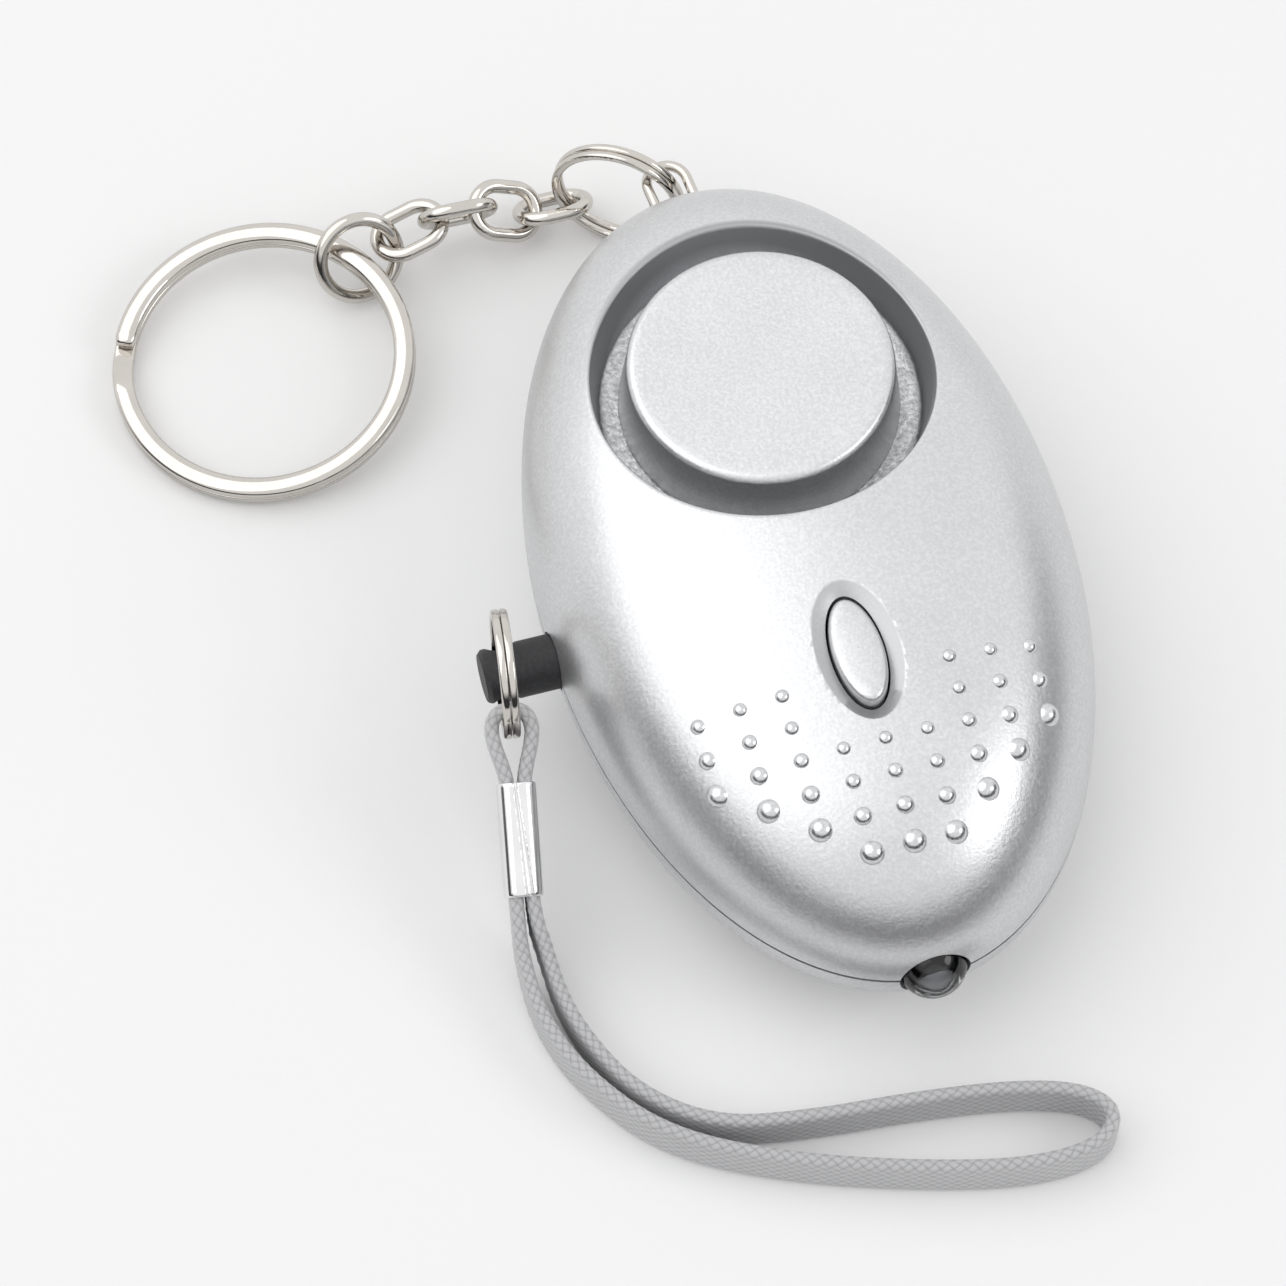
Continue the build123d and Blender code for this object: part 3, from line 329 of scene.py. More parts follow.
class Signal:
    """One output in a finish's node tree. Arithmetic on it adds Math nodes."""

    def __init__(self, finish, socket):
        self.finish = finish
        self.socket = socket

    def math(self, operation, *others):
        values = dict(enumerate((self, *others)))
        return self.finish.node("ShaderNodeMath", {"operation": operation}, values)

    def __add__(self, other):
        return self.math("ADD", other)

    __radd__ = __add__

    def __mul__(self, other):
        return self.math("MULTIPLY", other)

    __rmul__ = __mul__

    def __sub__(self, other):
        return self.math("SUBTRACT", other)

    def __rsub__(self, other):
        return self.math("MULTIPLY", -1.0).math("ADD", other)

    def __pow__(self, other):
        return self.math("POWER", other)

    def sine(self):
        return self.math("SINE")

    def fraction(self):
        return self.math("FRACT")

    def whole(self):
        return self.math("FLOOR")

    def clear(self, low, high):
        """0 under low, 1 over high and straight between."""
        values = {0: self, 1: low, 2: high, 3: 0.0, 4: 1.0}
        return self.finish.node("ShaderNodeMapRange", {"clamp": True}, values)


class Finish:
    """A material that is built on a Principled shader, or the world on its Background."""

    def __init__(self, name, tree=None, **values):
        if not tree:
            self.material = bpy.data.materials.new(name)
            self.material.use_nodes = True
        self.tree = tree or self.material.node_tree
        shaders = ("BSDF_PRINCIPLED", "BACKGROUND")
        self.shader = next(node for node in self.tree.nodes if node.type in shaders)
        for key, value in values.items():
            self.feed(key.replace("_", " ").title().replace("Ior", "IOR"), value)

    def node(self, kind, settings=None, values=None, output=0):
        """Adds a node of a kind; its settings come first, then what its sockets take."""
        made = self.tree.nodes.new(kind)
        for key, value in (settings or {}).items():
            if key == "stops":
                self.set_stops(made.color_ramp, value)
            else:
                setattr(made, key, value)
        for key, value in (values or {}).items():
            self.take(made.inputs[key], value)
        return Signal(self, made.outputs[output])

    def take(self, socket, value):
        if isinstance(value, Signal):
            self.tree.links.new(value.socket, socket)
        elif getattr(socket, "type", "") == "RGBA" and len(value) == 3:
            socket.default_value = (*value, 1.0)
        else:
            socket.default_value = value

    @staticmethod
    def set_stops(ramp, stops):
        """Stops of a colour ramp, as pairs of place and colour."""
        while len(ramp.elements) < len(stops):
            ramp.elements.new(1.0)
        for element, (place, colour) in zip(ramp.elements, stops):
            element.position = place
            element.color = (*colour, 1.0)

    def feed(self, name, value):
        self.take(self.shader.inputs[name], value)

    def position(self):
        return self.node("ShaderNodeTexCoord", output="Object")

    def axes(self, vector):
        """The three numbers of a vector."""
        split = self.node("ShaderNodeSeparateXYZ", {}, {0: vector})
        return [Signal(self, output) for output in split.socket.node.outputs]

    def noise(self, size, detail=2.0, roughness=0.5):
        """Soft noise whose lumps are about a size across, in metres."""
        values = {"Vector": self.position(), "Scale": 1.0 / size, "Detail": detail}
        values["Roughness"] = roughness
        return self.node("ShaderNodeTexNoise", {}, values, "Fac")

    def mix(self, factor, first, second):
        """A colour between two colours."""
        factor_in, first_in, second_in, colour_out = 0, 6, 7, 2
        values = {factor_in: factor, first_in: first, second_in: second}
        return self.node("ShaderNodeMix", {"data_type": "RGBA"}, values, colour_out)

    def bump(self, height, distance, strength, under=None):
        """A normal raised by a height from 0 to 1, over a distance in metres."""
        values = {"Height": height, "Distance": distance, "Strength": strength}
        if under:
            values["Normal"] = under
        return self.node("ShaderNodeBump", {}, values)


def shade_of(colour, share):
    """A colour made lighter or darker by a share."""
    return tuple(min(value * share, 1.0) for value in colour)


def silver_paint(colour, sizes, name="silver_paint", gloss=0.34):
    """Satin metallic paint: fine flakes, a soft orange peel, painted shade on the recess wall and the
    button's bevel ring, and dark grit on the recess floor that is partly painted shade.
    """
    finish = Finish(name, metallic=0.9, coat_weight=0.1, coat_roughness=0.3)
    x, y, z = finish.axes(finish.position())
    far_run, far_lean = 0.003, 0.08
    edge, wall_run = 0.0002, 0.0007
    rim = sizes.recess_radius + wall_run
    above = y - sizes.recess_y
    above = above * (1 - above.clear(0.0, far_run) * far_lean)
    from_recess = (x * x + above * above) ** 0.5
    in_recess = 1 - from_recess.clear(rim - edge, rim + edge)
    # Mask of the recess wall, which gets painted shade below
    wall = in_recess * from_recess.clear(sizes.recess_radius - 3 * edge, sizes.recess_radius - edge)
    floor_part = in_recess * (1 - z.clear(sizes.recess_floor, sizes.recess_floor + 2 * edge))
    from_button = y - sizes.button_y

    def oval(margin):
        half_width = sizes.button_width / 2 + margin
        half_length = sizes.button_length / 2 + margin
        return ((x * (1 / half_width)) ** 2 + (from_button * (1 / half_length)) ** 2) ** 0.5

    seam = 0.00005
    # Mask of the bevel ring round the button, which gets painted shade below
    bevel = oval(seam).clear(low=1.0, high=1.03)
    bevel = bevel * (1 - oval(BEVEL_REACH * MM).clear(low=0.98, high=1.02))
    flakes = finish.noise(size=0.00026, detail=3.0, roughness=0.6)
    grit = finish.noise(size=0.00042, detail=2.0, roughness=0.6)
    cloud = finish.noise(size=0.006)
    flake_share, cloud_share, bevel_shade_share, grit_and_shade_share = 0.6, 0.3, 0.7, 0.55
    paint = finish.mix(
        flakes.clear(low=0.4, high=0.7) * flake_share + cloud * cloud_share,
        shade_of(colour, share=0.86), shade_of(colour, share=1.1),
    )
    # Painted shade: the recess wall and the bevel ring round the button are mixed towards 0.56 of the
    # paint colour
    shaded_hollow = wall.math("MAXIMUM", bevel * bevel_shade_share)
    paint = finish.mix(shaded_hollow, paint, shade_of(colour, share=0.56))
    # The recess floor gets a dark grit speckle: the floor's own texture, and also painted shade that
    # darkens the floor as a whole
    finish.feed("Base Color", finish.mix(
        floor_part * grit.clear(low=0.35, high=0.62) * grit_and_shade_share,
        paint, shade_of(colour, share=0.3),
    ))
    cloud_dull, flake_dull, hollow_dull = 0.08, 0.1, 0.12
    dullness = (cloud - 0.5) * cloud_dull + (flakes - 0.5) * flake_dull + shaded_hollow * hollow_dull
    finish.feed("Roughness", gloss + dullness)
    peel = finish.bump(flakes, distance=0.00003, strength=0.55)
    skin_grit, floor_grit = 0.25, 1.6
    finish.feed("Normal", finish.bump(
        grit * (skin_grit + floor_part * floor_grit), distance=0.00007, strength=0.6, under=peel
    ))
    return finish.material


def nickel_plate(colour, name="nickel_plate", gloss=0.05):
    """Bright plating with faint draw marks and a little dullness in places."""
    finish = Finish(name, metallic=1.0)
    cloud = finish.noise(size=0.0026, detail=3.0)
    marks = finish.noise(size=0.0003, detail=3.0, roughness=0.65)
    dullness = 0.03
    finish.feed("Base Color", finish.mix(
        cloud.clear(low=0.3, high=0.75), shade_of(colour, share=0.95), shade_of(colour, share=1.05)
    ))
    finish.feed("Roughness", gloss + cloud * dullness + marks * dullness)
    finish.feed("Normal", finish.bump(marks, distance=0.00001, strength=0.35))
    return finish.material


def pin_plastic(colour):
    """Matt black moulding with a fine spark texture."""
    finish = Finish("pin_plastic")
    spark = finish.noise(size=0.00028, detail=3.0, roughness=0.6)
    least, spread = 0.42, 0.2
    finish.feed("Base Color", finish.mix(
        spark.clear(low=0.4, high=0.75), colour, shade_of(colour, share=2.1)
    ))
    finish.feed("Roughness", least + spark * spread)
    finish.feed("Normal", finish.bump(spark, distance=0.00004, strength=0.6))
    return finish.material


def braid_yarn(colour, sizes):
    """Two families of yarn that cross, with a painted highlight on their crowns and painted shade
    where they dive.
    """
    finish = Finish("braid_yarn", sheen_weight=0.25, sheen_roughness=0.4)
    along, across, _ = finish.axes(finish.node("ShaderNodeUVMap", {"uv_map": "braid"}))
    one = along + across
    two = along - across
    over = ((one.whole() + two.whole()) * 0.5).fraction() * 2.0
    first = (one.fraction() * pi).sine()
    second = (two.fraction() * pi).sine()
    crown = over * (first * (YARN_FLANK + YARN_CROWN * second))
    crown = crown + (1 - over) * (second * (YARN_FLANK + YARN_CROWN * first))
    thread_run = over * two.fraction() + (1 - over) * one.fraction()
    thread_side = over * one.fraction() + (1 - over) * two.fraction()
    threads_across, twist = 5.0, 0.8
    threads = ((thread_side * threads_across + thread_run * twist) * 2 * pi).sine() * 0.5 + 0.5
    fuzz = finish.noise(size=0.00016, detail=3.0, roughness=0.7)
    crown_light_share, thread_share, fuzz_share = 0.75, 0.14, 0.2
    # Painted light and shade: the colour is lighter on the yarn crowns and darker where the yarns
    # dive; the thread stripes and the fuzz are the yarn's own pattern
    level = crown.clear(low=0.05, high=0.75) * crown_light_share + threads * thread_share
    # Darkest where the yarns dive and lightest on their crowns: painted shade and painted highlight
    stops = {0.0: 0.62, 0.4: 0.98, 1.0: 1.2}
    finish.feed("Base Color", finish.node(
        "ShaderNodeValToRGB",
        {"stops": [(place, shade_of(colour, share)) for place, share in stops.items()]},
        {0: level + fuzz * fuzz_share},
    ))
    least, spread = 0.72, 0.2
    finish.feed("Roughness", least + fuzz * spread)
    thread_rise, fuzz_rise = 0.6, 0.4
    yarns = finish.bump(crown, distance=sizes.relief, strength=0.5)
    finish.feed("Normal", finish.bump(
        threads * thread_rise + fuzz * fuzz_rise, distance=0.00005, strength=0.6, under=yarns
    ))
    return finish.material


def lens_resin(colour):
    """Clear water-white resin with a smooth skin."""
    finish = Finish("lens_resin", base_color=colour, transmission_weight=1.0, ior=1.5)
    swirl = finish.noise(size=0.0014)
    least, spread = 0.02, 0.03
    finish.feed("Roughness", least + swirl * spread)
    finish.feed("Normal", finish.bump(swirl, distance=0.00002, strength=0.2))
    return finish.material


def plain_finish(name, colour, roughness, metallic=0.0, grain=0.0004):
    """Moulded, rolled or turned stock: small changes of colour and gloss, with fine grain."""
    finish = Finish(name, metallic=metallic)
    cloud_grains, shade_spread, dullness = 12, 0.15, 0.16
    grains = finish.noise(size=grain, detail=3.0, roughness=0.6)
    cloud = finish.noise(size=grain * cloud_grains)
    finish.feed("Base Color", finish.mix(
        grains * 0.5 + cloud * 0.5,
        shade_of(colour, 1 - shade_spread), shade_of(colour, 1 + shade_spread),
    ))
    finish.feed("Roughness", roughness + (grains - 0.5) * dullness)
    finish.feed("Normal", finish.bump(grains, distance=0.00002, strength=0.5))
    return finish.material


def board_lacquer(colour):
    """Green board with lighter copper tracks under its lacquer."""
    finish = Finish("board_lacquer", coat_weight=0.5, coat_roughness=0.1)
    tracks = finish.node(
        "ShaderNodeTexBrick",
        {"offset": 0.5},
        {"Vector": finish.position(), "Color1": (0, 0, 0), "Color2": (0, 0, 0),
         "Mortar": (1, 1, 1), "Scale": 260.0, "Mortar Size": 0.035},
        "Fac",
    )
    weave = finish.noise(size=0.0004)
    track_share, weave_share, least, spread = 0.8, 0.2, 0.3, 0.15
    finish.feed("Base Color", finish.mix(
        tracks * track_share + weave * weave_share, colour, shade_of(colour, share=2.6)
    ))
    finish.feed("Roughness", least + weave * spread)
    finish.feed("Normal", finish.bump(tracks, distance=0.00004, strength=0.5))
    return finish.material


def grid_mesh(name, rings, closed=True, caps=False, marks=None, map_name="UVMap"):
    """A smooth mesh over rings of points that all have the same count."""
    mesh = bpy.data.meshes.new(name)
    count = len(rings[0])
    faces = []
    corners = []
    steps = count if closed else count - 1
    for row in range(len(rings) - 1):
        for spot in range(steps):
            after = (spot + 1) % count
            faces.append((
                row * count + spot, row * count + after,
                (row + 1) * count + after, (row + 1) * count + spot,
            ))
            corners.append(((row, spot), (row, spot + 1), (row + 1, spot + 1), (row + 1, spot)))
    if caps:
        last = (len(rings) - 1) * count
        faces.append(tuple(reversed(range(count))))
        faces.append(tuple(range(last, last + count)))
        corners.append(tuple((0, spot) for spot in reversed(range(count))))
        corners.append(tuple((len(rings) - 1, spot) for spot in range(count)))
    mesh.from_pydata([point for ring in rings for point in ring], [], faces)
    if marks:
        layer = mesh.uv_layers.new(name=map_name)
        values = [marks(*corner) for face in corners for corner in face]
        layer.data.foreach_set("uv", [value for pair in values for value in pair])
    for polygon in mesh.polygons:
        polygon.use_smooth = True
    mesh.update()
    return mesh


def place_piece(name, mesh, body, material, slot, *nodes):
    """Puts a mesh in the scene as a piece that rides on a body and stands for CAD nodes."""
    piece = bpy.data.objects.new(name, mesh)
    bpy.context.scene.collection.objects.link(piece)
    mesh.materials.append(material)
    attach(piece, body)
    if nodes:
        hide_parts(*nodes)
    return piece


def dress(node, material):
    """Gives a carried-over CAD node its material."""
    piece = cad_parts[node]
    piece.data.materials.clear()
    piece.data.materials.append(material)
    for polygon in piece.data.polygons:
        polygon.material_index = 0


def circle(steps):
    """The turns of a circle in even steps."""
    return [2 * pi * step / steps for step in range(steps)]


def route_line(points, step):
    """The smooth line of a route, in even steps."""
    curve = bpy.data.curves.new("route", "CURVE")
    curve.dimensions = "3D"
    spline = curve.splines.new("NURBS")
    spline.points.add(len(points) - 1)
    for spot, point in zip(spline.points, points):
        spot.co = (*point, 1.0)
    spline.order_u = 3
    spline.use_endpoint_u = True
    curve.resolution_u = 32
    holder = bpy.data.objects.new("route", curve)
    mesh = bpy.data.meshes.new_from_object(holder)
    line = [vertex.co.copy() for vertex in mesh.vertices]
    bpy.data.objects.remove(holder)
    bpy.data.curves.remove(curve)
    bpy.data.meshes.remove(mesh)
    return even_steps(line, step)


def even_steps(line, step):
    """A line's points at even distances."""
    marks = [0.0]
    for before, after in zip(line, line[1:]):
        marks.append(marks[-1] + (after - before).length)
    count = max(int(marks[-1] / step), 2)
    shortest = 1e-12
    spots = []
    run = 0
    for index in range(count + 1):
        goal = marks[-1] * index / count
        while run < len(line) - 2 and marks[run + 1] < goal:
            run += 1
        share = (goal - marks[run]) / max(marks[run + 1] - marks[run], shortest)
        spots.append(line[run].lerp(line[run + 1], min(max(share, 0.0), 1.0)))
    return spots


def crown_height(along, across):
    """How far the braid's strands stand up at a place, from 0 to 1."""
    one = along + across
    two = along - across
    first = sin(pi * (one - floor(one)))
    second = sin(pi * (two - floor(two)))
    if (floor(one) + floor(two)) % 2:
        return first * (YARN_FLANK + YARN_CROWN * second)
    return second * (YARN_FLANK + YARN_CROWN * first)


def tape_outline(sizes, count):
    """Points round a flat tape with round edges, each with its way out of the surface."""
    half_width = sizes.width / 2 - sizes.thickness / 2
    half_thick = sizes.thickness / 2
    flat = 2 * half_width
    edge = pi * half_thick
    outline = []
    for index in range(count):
        run = 2 * (flat + edge) * index / count
        way = 1.0 if run < flat + edge else -1.0
        run %= flat + edge
        if run < flat:
            outline.append((way * half_thick, way * (run - half_width), way, 0.0))
        else:
            turn = (run - flat) / half_thick
            out, up = way * cos(turn), way * sin(turn)
            outline.append((half_thick * out, way * half_width + half_thick * up, out, up))
    return outline


def braid_tape(name, line, ups, sizes):
    """A flat braid on edge along a line; its width stands along the given ups."""
    points_per_strand = 5
    count = sizes.strands_around * points_per_strand
    outline = tape_outline(sizes, count)
    rings = []
    mark = 0.0
    runs = []
    for index, point in enumerate(line):
        before = line[max(index - 1, 0)]
        after = line[min(index + 1, len(line) - 1)]
        tangent = (after - before).normalized()
        side = ups[index].cross(tangent).normalized()
        up = tangent.cross(side).normalized()
        if index:
            mark += (point - line[index - 1]).length / sizes.strand_pitch
        runs.append(mark)
        ring = []
        for spot, (out, height, out_way, up_way) in enumerate(outline):
            across = spot / count * sizes.strands_around
            lift = (crown_height(mark, across) - YARN_LEVEL) * sizes.relief
            ring.append(point + side * (out + out_way * lift) + up * (height + up_way * lift))
        rings.append(ring)

    def marks(row, spot):
        return runs[row], spot / count * sizes.strands_around

    return grid_mesh(name, rings, caps=True, marks=marks, map_name="braid")


class Section:
    """Half section of a shell's dome in millimetres: face arc, corner arc and side arc."""

    def __init__(self, half, rise, face_radius, side_radius, corner_radius):
        face = Vector((0, rise - face_radius))
        side = Vector((half - side_radius, 0))
        span = side - face
        near = face_radius - corner_radius
        far = side_radius - corner_radius
        along = (near**2 - far**2 + span.length**2) / (2 * span.length)
        across = sqrt(near**2 - along**2)
        unit = span.normalized()
        normal = Vector((unit.y, -unit.x))
        spots = [face + unit * along + normal * across * way for way in (1, -1)]
        corner = max(spots, key=lambda spot: spot.y)
        to_face = atan2(corner.y - face.y, corner.x - face.x)
        to_side = atan2(corner.y - side.y, corner.x - side.x)
        self.arcs = (
            (face, face_radius, pi / 2, to_face),
            (corner, corner_radius, to_face, to_side),
            (side, side_radius, to_side, 0.0),
        )

    def at_run(self, run):
        """Reach and height at a distance along the section from the crown."""
        for centre, radius, start, end in self.arcs:
            length = radius * (start - end)
            if run <= length or end == 0.0:
                angle = start - run / radius
                return centre.x + radius * cos(angle), centre.y + radius * sin(angle)
            run -= length

    def run_at(self, reach):
        """Distance along the section from the crown to a reach."""
        run = 0.0
        for centre, radius, start, end in self.arcs:
            if reach <= centre.x + radius * cos(end) or end == 0.0:
                share = min(max((reach - centre.x) / radius, -1.0), 1.0)
                return run + radius * (start - acos(share))
            run += radius * (start - end)

    def run_of_height(self, height):
        """Distance along the section from the crown down to a height."""
        low, high = 0.0, self.length()
        halvings = 40
        for _ in range(halvings):
            middle = (low + high) / 2
            if self.at_run(middle)[1] > height:
                low = middle
            else:
                high = middle
        return low

    def height(self, reach):
        return self.at_run(self.run_at(reach))[1]

    def length(self):
        return sum(radius * (start - end) for _, radius, start, end in self.arcs)


def reach_of(x, y):
    """A place's reach in the egg's half width."""
    return sqrt(x**2 + (y * HALF_WIDTH / HALF_LENGTH) ** 2)


def ray_to_reach(start_y, heading, reach):
    """The place where a ray from the middle line meets a reach."""
    squash = HALF_WIDTH / HALF_LENGTH
    way = Vector((cos(heading), sin(heading)))
    a = way.x**2 + (way.y * squash) ** 2
    b = 2 * start_y * way.y * squash**2
    c = (start_y * squash) ** 2 - reach**2
    run = (-b + sqrt(max(b * b - 4 * a * c, 0.0))) / (2 * a)
    return way.x * run, start_y + way.y * run


class Skin:
    """Points and faces of a shell's outside, in millimetres, with holes cut through it."""

    def __init__(self, rings=()):
        self.points = []
        self.faces = []
        self.add_rings(rings)

    def add_rings(self, rings, close_start=False, close_end=False):
        """Closed rings of points, faces between them, and a face over an end that is closed."""
        base = len(self.points)
        count = len(rings[0]) if rings else 0
        self.points.extend(Vector(point) for ring in rings for point in ring)
        for low in range(base, len(self.points) - count, count or 1):
            high = low + count
            for spot in range(count):
                after = (spot + 1) % count
                self.faces.append((low + spot, low + after, high + after, high + spot))
        if close_start:
            self.faces.append(tuple(range(base, base + count)))
        if close_end:
            self.faces.append(tuple(reversed(range(len(self.points) - count, len(self.points)))))

    def punch(self, outside, *walls):
        """Cuts away where outside() is negative, and lines the hole with walls."""
        values = [outside(point) for point in self.points]
        cuts = {}

        def cut(here, after):
            low, high = min(here, after), max(here, after)
            if (low, high) not in cuts:
                near, far = self.points[low], self.points[high]
                share = values[low] / (values[low] - values[high])
                miss = outside(near.lerp(far, share))
                share = min(max(share + miss / (values[low] - values[high]), 0.0), 1.0)
                cuts[low, high] = len(self.points)
                self.points.append(near.lerp(far, share))
            return cuts[low, high]

        kept = []
        rims = []
        for face in self.faces:
            inside = [values[index] < 0 for index in face]
            if not any(inside):
                kept.append(face)
                continue
            if all(inside):
                continue
            ring = []
            edge = []
            for here, after in zip(face, (*face[1:], face[0])):
                if values[here] >= 0:
                    ring.append(here)
                if (values[here] < 0) != (values[after] < 0):
                    spot = cut(here, after)
                    ring.append(spot)
                    edge.append(spot)
            kept.append(tuple(ring))
            if len(edge) == 2:
                rims.append(tuple(edge))
        for wall in walls:
            made = {}
            for index in {index for rim in rims for index in rim}:
                made[index] = len(self.points)
                self.points.append(Vector(wall(self.points[index])))
            kept.extend((first, last, made[last], made[first]) for first, last in rims)
            rims = [(made[first], made[last]) for first, last in rims]
        self.faces = kept

    def add_dome(self, place, out, size, rise):
        """A raised dome of a width and a rise, square to the surface; its edge sinks into it."""
        rings, steps, sink = 6, 24, 1.12
        radius = ((size / 2) ** 2 + rise**2) / (2 * rise)
        across = out.orthogonal().normalized()
        along = out.cross(across)
        centre = place + out * (rise - radius)
        spread = acos((radius - rise) / radius) * sink
        base = len(self.points)
        self.points.append(centre + out * radius)
        self.faces.extend((base, base + 1 + step, base + 1 + (step + 1) % steps)
                          for step in range(steps))
        self.add_rings([
            [centre + ((across * cos(turn) + along * sin(turn)) * sin(tilt) + out * cos(tilt)) * radius
             for turn in circle(steps)]
            for tilt in (spread * ring / rings for ring in range(1, rings + 1))
        ])

    def mesh(self, name, sharp=38):
        """A smooth mesh of the skin, in metres, with its edges sharp from an angle in degrees."""
        merge_distance = 2e-6
        mesh = bpy.data.meshes.new(name)
        mesh.from_pydata([point * MM for point in self.points], [], self.faces)
        sheet = bmesh.new()
        sheet.from_mesh(mesh)
        bmesh.ops.remove_doubles(sheet, verts=sheet.verts, dist=merge_distance)
        bmesh.ops.recalc_face_normals(sheet, faces=sheet.faces)
        sheet.to_mesh(mesh)
        sheet.free()
        for polygon in mesh.polygons:
            polygon.use_smooth = True
        mesh.set_sharp_from_angle(angle=radians(sharp))
        mesh.update()
        return mesh


def oval_test(width, length, y):
    """Below zero inside an oval in plan."""
    def outside(point):
        return sqrt((point.x / width * 2) ** 2 + ((point.y - y) / length * 2) ** 2) - 1.0
    return outside


def side_holes(skin):
    """Pin hole, lamp hole and bail slot, which both shells share."""
    pin_side_x, lamp_end_y, bail_end_y = -10.0, -20.0, 28.0

    def pin(point):
        if point.x > pin_side_x:
            return 1.0
        return sqrt((point.y - PIN_HOLE_Y) ** 2 + (point.z - PARTING_Z) ** 2) - PIN_HOLE_RADIUS

    def lamp(point):
        if point.y > lamp_end_y:
            return 1.0
        return sqrt(point.x**2 + (point.z - PARTING_Z) ** 2) - LAMP_HOLE_RADIUS

    def bail(point):
        if point.y < bail_end_y:
            return 1.0
        return max(abs(point.x) - BAIL_SLOT_HALF_WIDTH,
                   abs(point.z - PARTING_Z) - BAIL_SLOT_HALF_HEIGHT)

    skin.punch(pin, lambda point: point + Vector((ROUND_HOLE_DEPTH, 0, 0)))
    skin.punch(lamp, lambda point: point + Vector((0, ROUND_HOLE_DEPTH, 0)))
    skin.punch(bail, lambda point: point - Vector((0, BAIL_SLOT_DEPTH, 0)))


def front_skin(sizes):
    """The front shell: recess, rolled rim, dome, parting groove and button seat."""
    section = Section(HALF_WIDTH, sizes.front_rise / MM, *FRONT_RADII)
    steps, levels = 540, 130
    fillet, fillet_steps, wall_steps, rim_steps = 0.3, 4, 8, 7
    floor_hole, far_lean = 9.0, 0.19
    first_guess, rounds = 5.0, 12
    middle = sizes.recess_y / MM
    floor_z = sizes.recess_floor / MM
    floor_radius = sizes.recess_radius / MM
    rim = sizes.rim_round / MM
    start = Vector((0, middle, 0))
    end = section.run_of_height(GROOVE)
    columns = []
    for heading in circle(steps):
        way = Vector((cos(heading), sin(heading), 0))
        slope = sizes.recess_slope + far_lean * max(sin(heading), 0) ** 2
        height = floor_z + first_guess
        for _ in range(rounds):
            radius = floor_radius + slope * (height - floor_z)
            spot = start + way * radius
            height = PARTING_Z + section.height(reach_of(spot.x, spot.y))
        floor_edge = floor_radius - fillet
        column = [start + way * reach + Vector((0, 0, floor_z)) for reach in (floor_hole, floor_edge)]
        for index in range(1, fillet_steps + 1):
            turn = pi / 2 * index / fillet_steps
            rise = fillet * (1 - cos(turn))
            column.append(start + way * (floor_edge + fillet * sin(turn))
                          + Vector((0, 0, floor_z + rise)))
        for index in range(1, wall_steps + 1):
            rise = fillet + (height - rim - floor_z - fillet) * index / wall_steps
            column.append(start + way * (floor_radius + slope * rise)
                          + Vector((0, 0, floor_z + rise)))
        low = column[-1]
        edge = spot + Vector((0, 0, height))
        high = start + way * (radius + rim)
        first = reach_of(high.x, high.y)
        high.z = PARTING_Z + section.height(first)
        for index in range(1, rim_steps):
            share = index / rim_steps
            column.append(low * (1 - share) ** 2 + edge * 2 * share * (1 - share)
                          + high * share**2)
        run = section.run_at(first)
        for index in range(levels + 1):
            reach, level = section.at_run(run + (end - run) * index / levels)
            x, y = ray_to_reach(middle, heading, reach)
            column.append(Vector((x, y, PARTING_Z + level)))
        last = column[-1]
        shrink = 1 - GROOVE / HALF_WIDTH
        for level in (GROOVE, 0.0):
            column.append(Vector((last.x * shrink, last.y * shrink, PARTING_Z + level)))
        columns.append(column)
    skin = Skin([list(ring) for ring in zip(*columns)])

    gap, bevel_depth, seat_depth = 0.36, 0.6, 1.6
    place = sizes.button_y / MM
    width = sizes.button_width / MM + gap
    length = sizes.button_length / MM + gap
    wide = 2 * BEVEL_REACH - gap
    beside = oval_test(width + wide, length + wide, place)

    def to_seat(point):
        return (point.x * width / (width + wide),
                place + (point.y - place) * length / (length + wide), point.z - bevel_depth)

    skin.punch(lambda point: beside(point) if point.y < 0 and point.z > PARTING_Z else 1.0,
               to_seat, lambda point: point - Vector((0, 0, seat_depth)))
    side_holes(skin)
    return skin.mesh("front_skin")


def grip_domes(sizes):
    """The raised domes of the grip field, larger towards the lamp."""
    section = Section(HALF_WIDTH, sizes.front_rise / MM, *FRONT_RADII)
    first_and_last_row = ((0, 3), (0, 3), (-2, 2), (-2, 1), (-2, 0))
    widths = (1.0, 1.1, 1.3, 1.7)
    rise_share, nudge = 0.27, 0.01
    skin = Skin()
    for column, (first, last) in enumerate(first_and_last_row):
        for row in range(first, last + 1):
            width = widths[max(len(widths) - 1 - (last - row), 0)]
            for way in {1, -1} if column else {1}:
                x = way * column * sizes.dome_pitch / MM
                y = (sizes.dome_start - sizes.dome_row * row) / MM
                spots = [Vector((x, y, 0)), Vector((x + nudge, y, 0)), Vector((x, y + nudge, 0))]
                for spot in spots:
                    spot.z = PARTING_Z + section.height(reach_of(spot.x, spot.y))
                out = (spots[1] - spots[0]).cross(spots[2] - spots[0]).normalized()
                skin.add_dome(spots[0], out, width, width * rise_share)
    return skin.mesh("grip_domes")


